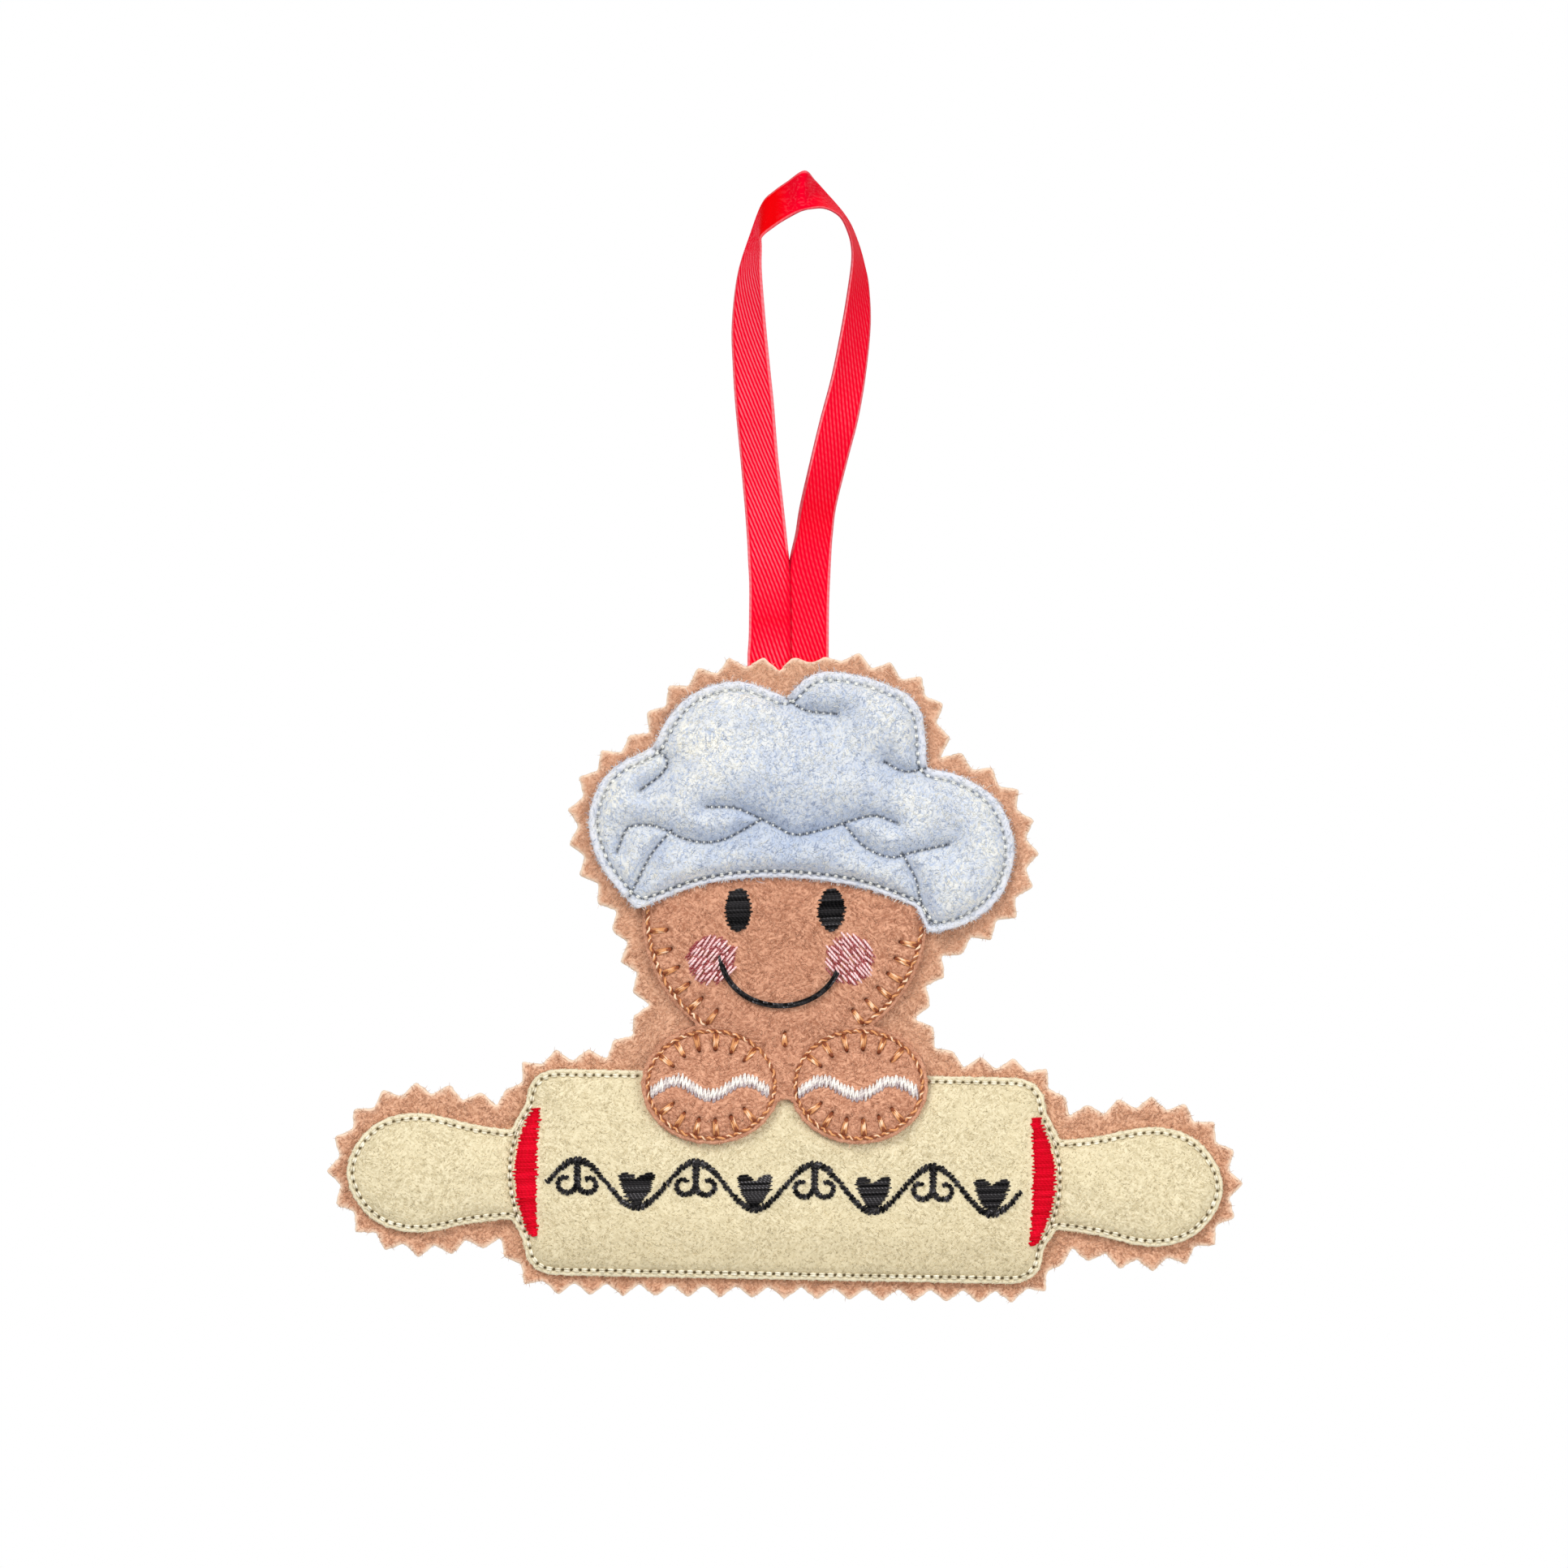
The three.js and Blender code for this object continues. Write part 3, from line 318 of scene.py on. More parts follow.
@dataclass(frozen=True)
class FeltFinish:
    """Napped craft felt, with blotches, curled fibres, a paler cut edge that is partly painted highlight, and
    painted shade in its needle holes and creases.
    """

    slot: str
    light: Colour
    dark: Colour
    # colour of the cut edge and its fuzz, partly painted highlight where the edge catches the light
    edge: Colour
    # painted shade in the needle holes and in the creases beside stitches
    hole_and_crease_shade: Colour
    cloud: Colour
    cloud_share: float = 0.25
    streak_width: float = 0.34
    streak_length: float = 1.3
    streak_turns: Pair = (math.radians(-32), math.radians(48))
    streak_sway: float = 2.4
    grain_size: float = 0.3
    mat_size: float = 0.9
    lay_size: float = 5.0
    lay_range: Pair = (0.46, 0.54)
    cloud_size: float = 7.0
    cloud_range: Pair = (0.4, 0.65)
    tone_weights: Triple = (0.35, 0.55, 0.2)
    tone_range: Pair = (0.38, 0.72)
    fibre_height: float = 0.7
    depth: float = 0.16
    depth_share: float = 0.9
    roughness: float = 0.95
    # colour of painted shade in folds, on shaded sides and towards lower edges
    painted_shading: Colour | None = None

    def material(self) -> bpy.types.Material:
        """Builds the felt's own material.

        Returns:
            The material, which reads the painted light and shade marked on the vertices.
        """
        shader = Shader(f"{self.slot}_body")
        place = shader.place()
        grain = shader.noise(place, self.grain_size, 1.0, 0.4)
        first, second = (
            shader.streaks(place, self.streak_width, self.streak_length, turn, self.streak_sway)
            for turn in self.streak_turns
        )
        lay = shader.noise(place, self.lay_size, 1.0).between(*self.lay_range)
        fibre = first + lay * (second - first)
        mat = shader.noise(place, self.mat_size, 2.0, 0.5)
        cloud = shader.noise(place, self.cloud_size, 3.0).between(*self.cloud_range)
        # the three marks: painted shade of holes and creases, the cut edge (partly painted highlight),
        # painted shading
        hole_and_crease_shade, edge, low = shader.painted("marks")
        of_grain, of_fibre, of_mat = self.tone_weights
        tone = (of_grain * grain + of_fibre * fibre + of_mat * mat).between(*self.tone_range)
        colour = shader.mix(tone, self.dark, self.light)
        colour = shader.mix(cloud * self.cloud_share, colour, self.cloud)
        # painted shade from the third mark
        if self.painted_shading:
            colour = shader.mix(low, colour, self.painted_shading)
        colour = shader.mix(edge, colour, self.edge)
        colour = shader.mix(hole_and_crease_shade, colour, self.hole_and_crease_shade)
        height = self.fibre_height * fibre + (1 - self.fibre_height) * grain
        return shader.surface(
            Base_Color=colour,
            Roughness=self.roughness - 0.1 * fibre,
            Normal=shader.bump(height, self.depth, self.depth_share),
            Specular_IOR_Level=FELT_SPECULAR, Sheen_Weight=FELT_SHEEN, Sheen_Roughness=0.6,
        )


@dataclass(frozen=True)
class NapFinish:
    """The loose fibres of a felt, in a few tones with a soft sheen."""

    slot: str
    tones: tuple[Colour, ...]
    shares: tuple[float, ...]
    roughness: float = 0.9

    def materials(self) -> list[bpy.types.Material]:
        """Builds the fibres' materials.

        Returns:
            One for each tone.
        """
        made = []
        for i, tone in enumerate(self.tones):
            shader = Shader(f"{self.slot}_fibre_{i}")
            made.append(
                shader.surface(
                    Base_Color=tone, Roughness=self.roughness, Specular_IOR_Level=FELT_SPECULAR,
                    Sheen_Weight=FELT_SHEEN, Sheen_Roughness=0.5,
                )
            )
        return made


@dataclass(frozen=True)
class ThreadFinish:
    """Embroidery thread: twisted plies with painted light on their crests and painted shade between them, a
    soft shine with painted glints, and a tone of its own for each strand.
    """

    slot: str
    light: Colour
    dark: Colour
    # painted glint on the ply crests of light strands
    glint: Colour
    roughness: float = 0.45
    specular: float = 0.25
    ply: float = 0.55
    ply_depth: float = 0.06
    speck_size: float = 0.25
    own_tone: float = 0.8
    of_ridge: float = 0.25
    of_speck: float = 0.3
    darkened: float = 0.15
    glint_from: float = 0.6

    def material(self) -> bpy.types.Material:
        """Builds the thread's material.

        Returns:
            The material, which reads each strand's twist and tone.
        """
        shader = Shader(f"{self.slot}_strand")
        along, across, above = shader.painted("twist")
        tone = shader.node("ShaderNodeAttribute", {"attribute_name": "tone"}, output="Fac")
        turn = along * (math.tau / self.ply)
        ridge = 0.5 + 0.5 * (across * turn.cosine() - above * turn.sine())
        speck = shader.noise(shader.place(), self.speck_size)
        # the ridge paints the ply crests lighter and the grooves between them darker
        share = self.own_tone * tone + self.of_ridge * ridge + self.of_speck * speck - self.darkened
        colour = shader.mix(share.between(0.0, 1.0), self.dark, self.light)
        # painted glints where a light strand's ply crests lie
        return shader.surface(
            Base_Color=shader.mix((tone * ridge).between(self.glint_from, 1.0), colour, self.glint),
            Roughness=self.roughness + 0.12 * ridge,
            Normal=shader.bump(ridge, self.ply_depth, 0.5),
            Specular_IOR_Level=self.specular,
        )


@dataclass(frozen=True)
class RibbonFinish:
    """Satin ribbon: steep broken twill lines between two pale selvages, with painted sheen where it faces the
    light and painted shade, deeper red, where it turns away.
    """

    slot: str
    # light is the colour of the twill's painted sheen; the third red is painted shade where the strip turns
    # away
    light: Colour
    dark: Colour
    painted_turned_shade: Colour
    selvage: Colour
    width: float
    pitch: float = 0.54
    steepness: float = math.radians(71)
    dash: float = 1.2
    line_range: Pair = (0.4, 0.8)
    stray_size: float = 0.9
    stray: float = 0.12
    dash_stray: float = 5.0
    cloud_size: float = 3.0
    # the arch's wavy streaks of painted sheen
    wave_width: float = 0.34
    wave_length: float = 2.2
    wave_range: Pair = (0.5, 0.64)
    wave_share: float = 0.6
    line_share: float = 0.84
    selvage_width: float = 0.42
    groove_width: float = 0.75
    gloss: Colour = (1.0, 0.02, 0.06, 1.0)
    # painted shadow: a dark band where the right leg's inner edge tucks under the left one, and a dark line
    # where the legs meet
    painted_shade_band: Colour = srgb("961022")
    painted_shade_band_share: float = 0.6
    shaded: Pair = (2.86, 2.96)
    shaded_from: Pair = (78.0, 84.0)
    tucked: float = 0.3
    tucked_from: Pair = (128.0, 136.0)
    arch_low: float = -7.0
    arch_high: float = -2.5
    joined_low: float = -50.0
    joined_high: float = -48.5
    seam: Pair = (2.7, 2.95)
    seam_share: float = 0.6

    def material(self) -> bpy.types.Material:
        """Builds the ribbon's material.

        Returns:
            The material, which reads the place along and across the strip and its lightness.
        """
        shader = Shader(f"{self.slot}_satin")
        # the third number is the painted lightness: sheen where the strip faces the light, shade where it
        # turns away
        along, across, light = shader.painted("weave")
        sine, cosine = math.sin(self.steepness), math.cos(self.steepness)
        place = shader.place()
        stray = shader.noise(place, self.stray_size)
        over = (sine * across + cosine * along + self.stray * stray) * (math.tau / self.pitch)
        down = (sine * along - cosine * across) * (math.tau / self.dash)
        line = (0.5 + 0.5 * over.sine()).between(*self.line_range)
        dash = 0.5 + 0.5 * (down + 0.5 * over + self.dash_stray * stray).sine()
        cloud = shader.noise(place, self.cloud_size)
        height = shader.parts(place)[2]
        arch = height.between(self.arch_low * MM, self.arch_high * MM)
        # painted highlights: wavy streaks of sheen along the arch
        waves = shader.streaks(place, self.wave_width, self.wave_length, 0.1, 2.0).between(*self.wave_range)
        rim = 0.5 * self.width - abs(across)
        selvage = 1 - rim.between(0.6 * self.selvage_width, self.selvage_width)
        groove = rim.between(0.7 * self.groove_width, self.groove_width)
        thread = line * (1 - (0.75 - 0.55 * light) * (1 - dash))
        thread = thread + arch * (self.wave_share * waves - thread)
        # the twill's pale lines are painted sheen, as strong as the painted lightness
        share = light * (self.line_share * thread) * (0.6 + 0.8 * cloud) * (0.3 + 0.7 * groove)
        # painted shade: deeper red where the strip turns away from the light
        turned = shader.mix(light.between(0.0, 0.35), self.painted_turned_shade, self.dark)
        colour = shader.mix(share, turned, self.light)
        joined = 1 - height.between(self.joined_low * MM, self.joined_high * MM)
        pale = selvage * (0.7 + 0.3 * dash) * (1 - joined * across.between(0.0, 0.1)) * (1 - 0.4 * arch)
        colour = shader.mix(pale, colour, self.selvage)
        # painted shadow along the tucked inner edge and in the seam between the legs
        hidden = along.between(*self.tucked_from)
        painted_shade_band = (across + self.tucked * hidden).between(*self.shaded) * along.between(*self.shaded_from)
        seam = self.seam_share * joined * across.between(*self.seam)
        painted_shade_band = painted_shade_band + seam * (1 - painted_shade_band)
        return shader.surface(
            Base_Color=shader.mix(self.painted_shade_band_share * painted_shade_band, colour, self.painted_shade_band),
            Roughness=0.6 - 0.12 * line,
            Normal=shader.bump(0.7 * line + 0.3 * dash, 0.05, 0.5),
            Specular_IOR_Level=0.1,
            Specular_Tint=self.gloss,
            Sheen_Weight=0.3,
            Sheen_Roughness=0.5,
            Sheen_Tint=self.gloss,
        )


@dataclass(frozen=True)
class SheetFinish:
    """Non-woven stabiliser: pressed fibres with thin spots."""

    slot: str
    light: Colour
    dark: Colour

    def material(self) -> bpy.types.Material:
        """Builds the stabiliser's material.

        Returns:
            The material.
        """
        shader = Shader(f"{self.slot}_sheet")
        pressed = shader.noise(shader.place(), 1.5, 4.0, 0.8)
        return shader.surface(
            Base_Color=shader.mix(pressed, self.dark, self.light),
            Roughness=0.85 + 0.1 * pressed,
            Normal=shader.bump(pressed, 0.05, 0.4),
        )


# felt colours: light, dark, the cut edge (partly painted highlight), the painted shade of holes and creases,
# and cloud; a last named colour is the painted shade of folds and shaded sides
TAN = FeltFinish("tan_felt", *palette("eab899 bc8769 f8dec6 78503a d29c7d"))
BROWN = FeltFinish(
    "brown_felt", *palette("e7ae8f a86e53 da9e80 5c301c cc9276"),
    streak_turns=(math.radians(-25), math.radians(40)),
)
CREAM = FeltFinish(
    "cream_felt", *palette("f1e5c4 ccbe9a f8f0d6 867456 e6d9b5"), 0.4, depth=0.13, painted_shading=srgb("c0b08e"),
    streak_turns=(math.radians(-50), math.radians(30)),
)
PALE_BLUE = FeltFinish(
    "hat_felt", *palette("f8f6ee bcc8de e4e6f0 242c42 c6d0e4"), 0.5, depth=0.12, painted_shading=srgb("acbcd8"),
    streak_turns=(math.radians(70), math.radians(-60)), mat_size=1.2, cloud_size=4.0,
    tone_range=(0.38, 0.64),
)
TAN_NAP = NapFinish("tan_felt", palette("ba8669 d6a384 edc1a2"), (0.22, 0.4, 0.38))
BROWN_NAP = NapFinish("brown_felt", palette("b07659 d3987a f0bc9c"), (0.25, 0.42, 0.33))
CREAM_NAP = NapFinish("cream_felt", palette("c6b894 e8dab6 faf0d2"), (0.24, 0.43, 0.33))
BLUE_NAP = NapFinish("hat_felt", palette("aab8d4 ccd6e7 e4e9ef fffcf2"), (0.15, 0.25, 0.28, 0.32))
BLACK_THREAD = ThreadFinish("thread_black", *palette("3c3a3c 030304 807e82"), specular=0.03)
WHITE_THREAD = ThreadFinish("thread_white", *palette("fdf7f0 aa98a0 fffffc"))
PINK_THREAD = ThreadFinish("thread_pink", *palette("fdced0 923032 fff2f4"))
RUST_THREAD = ThreadFinish("thread_rust", *palette("e6a26a 864226 ffdebe"), ply=2.2)
RED_THREAD = ThreadFinish("thread_red", *palette("f0082e be0014 f6384c"), specular=0.05)
CREAM_THREAD = ThreadFinish("thread_cream", *palette("fffcf4 e4ded0 fffffc"))
HAT_THREAD = ThreadFinish("thread_cream", *palette("fafaf4 d4d6d6 fffffc"))
PIN_THREAD = ThreadFinish("thread_cream", *palette("faf4e0 dad0b4 fffdf2"))
RED_SATIN = RibbonFinish("ribbon_red", *palette("ff7484 f8002a ea0004 fe848e"), 6.0)
STABILISER = SheetFinish("stabiliser", *palette("f5f4f0 e2e0da"))


class Panel:
    """The upright plane of the ornament, between panel millimetres and the frame's metres."""

    def __init__(self) -> None:
        """Reads the height of the hinge line from the frame."""
        self.hinge = frame["joints"][0]["pos_m"][2]

    def world(self, points: Array) -> Array:
        """Turns (x, y, h) in millimetres into the frame's metres."""
        flat = points.reshape(-1, 3) * MM
        return np.column_stack([flat[:, 0], -flat[:, 2], flat[:, 1] + self.hinge])

    def flat(self, points: Array) -> Array:
        """Turns the frame's metres into (x, y, h) in millimetres."""
        return np.column_stack([points[:, 0], points[:, 2] - self.hinge, -points[:, 1]]) / MM

    def box(self, node: str) -> Array:
        """The lowest and highest (x, y, h) of a CAD node, in millimetres."""
        low, high = (self.flat(np.array([corner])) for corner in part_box(node))
        return np.sort(np.vstack([low, high]), axis=0)

    def middle(self, node: str) -> tuple[Array, Array]:
        """The middle of a CAD node in the panel, and half its width and height."""
        low, high = self.box(node)[:, :2]
        return (low + high) / 2, (high - low) / 2

    def thickness(self, node: str) -> float:
        """How deep a CAD node is, in millimetres."""
        return float(np.ptp(self.box(node)[:, 2]))

    def front(self, node: str) -> float:
        """How far a CAD node stands out towards the viewer, in millimetres."""
        return float(self.box(node)[1, 2])


PANEL = Panel()


def add_object(name: str, data: bpy.types.ID) -> bpy.types.Object:
    """Puts a new object into the scene."""
    made = bpy.data.objects.new(name, data)
    bpy.context.scene.collection.objects.link(made)
    return made


def dress(piece: bpy.types.Object, slot: str, *nodes: str) -> None:
    """Lets a piece swing with the ornament in place of CAD nodes, and reports it.

    Args:
        piece: The piece.
        slot: The name of its material slot; not used.
        nodes: The CAD nodes that it replaces.
    """
    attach(piece, ORNAMENT)
    if nodes:
        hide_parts(*nodes)
    log.info("%s: %d faces", piece.name, len(piece.data.polygons))


def nowhere() -> Array:
    """No places at all."""
    return np.zeros((0, 2))


def unit(vectors: Array) -> Array:
    """The vectors at a length of 1."""
    return vectors / np.maximum(np.linalg.norm(vectors, axis=-1, keepdims=True), TINY)


def share_of(values: Array, low: float, high: float) -> Array:
    """The values as shares of the way from low to high, kept from 0 to 1."""
    return np.clip((values - low) / (high - low), 0, 1)


def eased(share: Array) -> Array:
    """A share that starts and ends gently."""
    return share * share * (3 - 2 * share)


def domed(share: Array) -> Array:
    """A share that rises fast and levels off, like padding inwards from a seam."""
    return 1 - (1 - share) ** 2


def bell(distance: Array, reach: float) -> Array:
    """A bump of height 1 that fades over a distance."""
    return np.exp(-((distance / reach) ** 2))


def capped(ring: Array) -> Array:
    """Fills a ring of places with triangles.

    Args:
        ring: The places, (n, 2).

    Returns:
        The triangles, by the numbers of the ring's points.
    """
    count = len(ring)
    edges = [(i, (i + 1) % count) for i in range(count)]
    _, _, faces, origin, *_ = delaunay_2d_cdt([Vector(p) for p in ring], edges, [], 1, 1e-5)
    first = {new: olds[0] for new, olds in enumerate(origin) if olds}
    return np.array([[first[i] for i in face] for face in faces if all(i in first for i in face)])


def arc(centre: Pair | Array, half: Pair | Array | float, turns: Array) -> Array:
    """The places on an upright ellipse at some turns."""
    return np.array(centre) + np.array(half) * np.column_stack([np.cos(turns), np.sin(turns)])


def raised(lines: Array, height: Array) -> Array:
    """Lines in the panel with a height at each of their points, (lines, points, 3)."""
    return np.concatenate([lines, height[..., None]], axis=2)


def walked(points: Array) -> Array:
    """The distance walked along a line at each of its points."""
    return np.concatenate([[0.0], np.cumsum(np.linalg.norm(np.diff(points, axis=0), axis=1))])


def spread_along(points: Array, step: float, closed: bool) -> Array:
    """Places points evenly along a line.

    Args:
        points: The line's points.
        step: The wanted distance between points.
        closed: Whether the line returns to its start.

    Returns:
        The new points, without a repeat of the first on a closed line.
    """
    line = np.vstack([points, points[:1]]) if closed else points
    along = walked(line)
    count = max(2, round(along[-1] / step))
    goals = np.linspace(0, along[-1], count + 1)
    spaced = np.column_stack([np.interp(goals, along, line[:, k]) for k in range(line.shape[1])])
    return spaced[:-1] if closed else spaced


def curve_through(points: Sequence, steps: int) -> Array:
    """A smooth line through points.

    Args:
        points: The points that the line passes.
        steps: How many pieces each stretch is cut into.

    Returns:
        The line's points.
    """
    knots = np.asarray(points, float)
    padded = np.vstack([2 * knots[0] - knots[1], knots, 2 * knots[-1] - knots[-2]])
    shares = np.linspace(0, 1, steps, endpoint=False)[:, None]
    made = []
    for before, start, end, after in zip(padded, padded[1:], padded[2:], padded[3:]):
        made.append(
            0.5 * (
                2 * start + (end - before) * shares
                + (2 * before - 5 * start + 4 * end - after) * shares**2
                + (3 * start - before - 3 * end + after) * shares**3
            )
        )
    return np.vstack([*made, knots[-1:]])


def headings(points: Array, closed: bool) -> Array:
    """Finds a line's direction at its points.

    Args:
        points: The line's points, (n, 2).
        closed: Whether it returns to its start.

    Returns:
        One unit vector for each point.
    """
    if closed:
        ahead = np.roll(points, -1, axis=0) - np.roll(points, 1, axis=0)
    else:
        ahead = np.gradient(points, axis=0)
    return unit(ahead)


def leftwards(directions: Array) -> Array:
    """The directions turned a quarter to the left."""
    return np.column_stack([-directions[:, 1], directions[:, 0]])


def ripple(points: Array, size: float, seed: int, waves: int = 14) -> Array:
    """Smooth uneven ground.

    Args:
        points: Places in the panel, (n, 2).
        size: The width of a swell in millimetres.
        seed: The choice of swells.
        waves: How many waves are added up.

    Returns:
        Heights that mostly lie between -1 and 1.
    """
    random = np.random.default_rng(seed)
    turns = random.uniform(0, math.tau, waves)
    sizes = size * random.uniform(0.7, 1.5, waves)
    starts = random.uniform(0, math.tau, waves)
    along = points @ np.vstack([np.cos(turns), np.sin(turns)])
    return np.sin(along * math.tau / sizes + starts).sum(axis=1) / math.sqrt(waves)


@dataclass(frozen=True)
class Outline:
    """A closed line in the panel, counter-clockwise."""

    points: Array

    @classmethod
    def of_node(cls, node: str) -> "Outline":
        """The outline that a CAD node shows to the viewer.

        Args:
            node: The node's name.

        Returns:
            The longest closed line round its faces that look forwards.
        """
        shape = bmesh.new()
        shape.from_mesh(frame["nodes"][node].data)
        bmesh.ops.remove_doubles(shape, verts=shape.verts, dist=0.01 * MM)
        seen = {face.index for face in shape.faces if face.normal.y < -0.05}
        follow = {}
        for face in shape.faces:
            if face.index not in seen:
                continue
            for loop in face.loops:
                others = [f for f in loop.edge.link_faces if f.index in seen and f is not face]
                if not others:
                    follow[loop.vert.index] = loop.link_loop_next.vert.index
        places = np.array([vert.co for vert in shape.verts])
        shape.free()
        longest = []
        while follow:
            start = next(iter(follow))
            ring = [start]
            while (step := follow.pop(ring[-1], start)) != start:
                ring.append(step)
            longest = max(longest, ring, key=len)
        return cls(PANEL.flat(places[longest])[:, :2])

    @classmethod
    def ellipse(cls, centre: Pair | Array, half: Pair | Array, count: int = 120) -> "Outline":
        """An upright ellipse."""
        return cls(arc(centre, half, np.linspace(0, math.tau, count, endpoint=False)))

    @property
    def length(self) -> float:
        """The length round it."""
        return float(walked(np.vstack([self.points, self.points[:1]]))[-1])

    @property
    def area(self) -> float:
        """The area inside it."""
        after = np.roll(self.points, -1, axis=0)
        return float(abs(np.sum(self.points[:, 0] * after[:, 1] - after[:, 0] * self.points[:, 1])) / 2)

    def spaced(self, step: float) -> "Outline":
        """The same line with evenly spaced points."""
        return Outline(spread_along(self.points, step, True))

    def softened(self, passes: int) -> "Outline":
        """Wears the line's corners round.

        Args:
            passes: How often; more of them round more.

        Returns:
            The new line.
        """
        points = self.points
        for _ in range(passes):
            points = (np.roll(points, 1, axis=0) + 2 * points + np.roll(points, -1, axis=0)) / 4
        return Outline(points)

    def inset(self, depth: float) -> "Outline":
        """The line moved inwards."""
        return Outline(self.points + depth * leftwards(headings(self.points, True)))

    def contains(self, places: Array) -> Array:
        """Tests which places lie inside.

        Args:
            places: Places in the panel, (n, 2).

        Returns:
            True for each that does.
        """
        inside = np.zeros(len(places), bool)
        after = np.roll(self.points, -1, axis=0)
        for (ax, ay), (bx, by) in zip(self.points, after):
            crosses = (ay > places[:, 1]) != (by > places[:, 1])
            if ay != by:
                meets = ax + (places[:, 1] - ay) / (by - ay) * (bx - ax)
                inside ^= crosses & (places[:, 0] < meets)
        return inside

    def depth(self, places: Array) -> Array:
        """How far inside the outline places lie, below zero outside."""
        away = Nearness(self.spaced(0.25).points).away(places)
        return np.where(self.contains(places), away, -away)


class Nearness:
    """Finds how far places lie from a set of points."""

    def __init__(self, points: Array) -> None:
        """Sorts the points into a tree.

        Args:
            points: The points, (n, 2).
        """
        self.count = len(points)
        self.tree = KDTree(self.count)
        for i, point in enumerate(points):
            self.tree.insert((point[0], point[1], 0.0), i)
        self.tree.balance()

    def away(self, places: Array) -> Array:
        """The distance from each place to the nearest point, without end where there is none."""
        if not self.count:
            return np.full(len(places), np.inf)
        return np.array([self.tree.find((x, y, 0.0))[2] for x, y in places])


@dataclass
class Shape:
    """Vertices and faces in the panel's millimetres, with values for each vertex."""

    points: list[Array] = field(default_factory=list)
    faces: list[Array] = field(default_factory=list)
    slots: list[Array] = field(default_factory=list)
    values: dict[str, list[Array]] = field(default_factory=dict)
    count: int = 0

    def add(
        self, points: Array, faces: Sequence[Array], slots: Sequence[Array] | None = None, **values: Array
    ) -> None:
        """Adds a batch.

        Args:
            points: Its vertices, (n, 3).
            faces: Arrays of faces of one size each, which count from the batch's first vertex.
            slots: The material slots of each array's faces, if they aren't all the first.
            values: Named values for each vertex.
        """
        self.points.append(points)
        for k, batch in enumerate(faces):
            self.faces.append(batch + self.count)
            self.slots.append(slots[k] if slots else np.zeros(len(batch), int))
        for name, value in values.items():
            self.values.setdefault(name, []).append(value)
        self.count += len(points)

    def piece(
        self, name: str, materials: Sequence[bpy.types.Material], facing: Facing = Facing.FRONT
    ) -> bpy.types.Object:
        """Makes the Blender object.

        Args:
            name: The piece's name.
            materials: Its material slots.
            facing: BACK turns the whole shape round to look away from the viewer.

        Returns:
            The new object, in the frame's metres.
        """
        points = np.vstack(self.points)
        faces = self.faces
        if facing is Facing.BACK:
            points = points * np.array([1, 1, -1])
            faces = [batch[:, ::-1] for batch in faces]
        mesh = bpy.data.meshes.new(name)
        mesh.vertices.add(len(points))
        mesh.vertices.foreach_set("co", PANEL.world(points).astype(np.float32).ravel())
        corners = np.concatenate([batch.ravel() for batch in faces]).astype(np.int32)
        sizes = np.concatenate([np.full(len(batch), batch.shape[1]) for batch in faces])
        mesh.loops.add(len(corners))
        mesh.loops.foreach_set("vertex_index", corners)
        mesh.polygons.add(len(sizes))
        starts = np.concatenate([[0], np.cumsum(sizes)[:-1]]).astype(np.int32)
        mesh.polygons.foreach_set("loop_start", starts)
        mesh.polygons.foreach_set("material_index", np.concatenate(self.slots).astype(np.int32))
        mesh.update(calc_edges=True)
        mesh.shade_smooth()
        for material in materials:
            mesh.materials.append(material)
        for key, batches in self.values.items():
            value = np.concatenate(batches).astype(np.float32)
            kind, entry = ("FLOAT_VECTOR", "vector") if value.ndim == 2 else ("FLOAT", "value")
            mesh.attributes.new(key, kind, "POINT").data.foreach_set(entry, value.ravel())
        return add_object(name, mesh)


def grid_faces(rings: int, sides: int, copies: int) -> Array:
    """The quads between neighbouring rings of many tubes that lie one after another.

    Args:
        rings: How many rings a tube has.
        sides: How many points a ring has.
        copies: How many tubes there are.

    Returns:
        Quads that count from the first ring of the first tube, facing out.
    """
    ring = np.arange(rings - 1)[:, None] * sides
    side = np.arange(sides)[None, :]
    after = (side + 1) % sides
    quads = np.stack([ring + side, ring + sides + side, ring + sides + after, ring + after], axis=-1)
    starts = np.arange(copies)[:, None, None] * rings * sides
    return (quads.reshape(1, -1, 4) + starts).reshape(-1, 4)


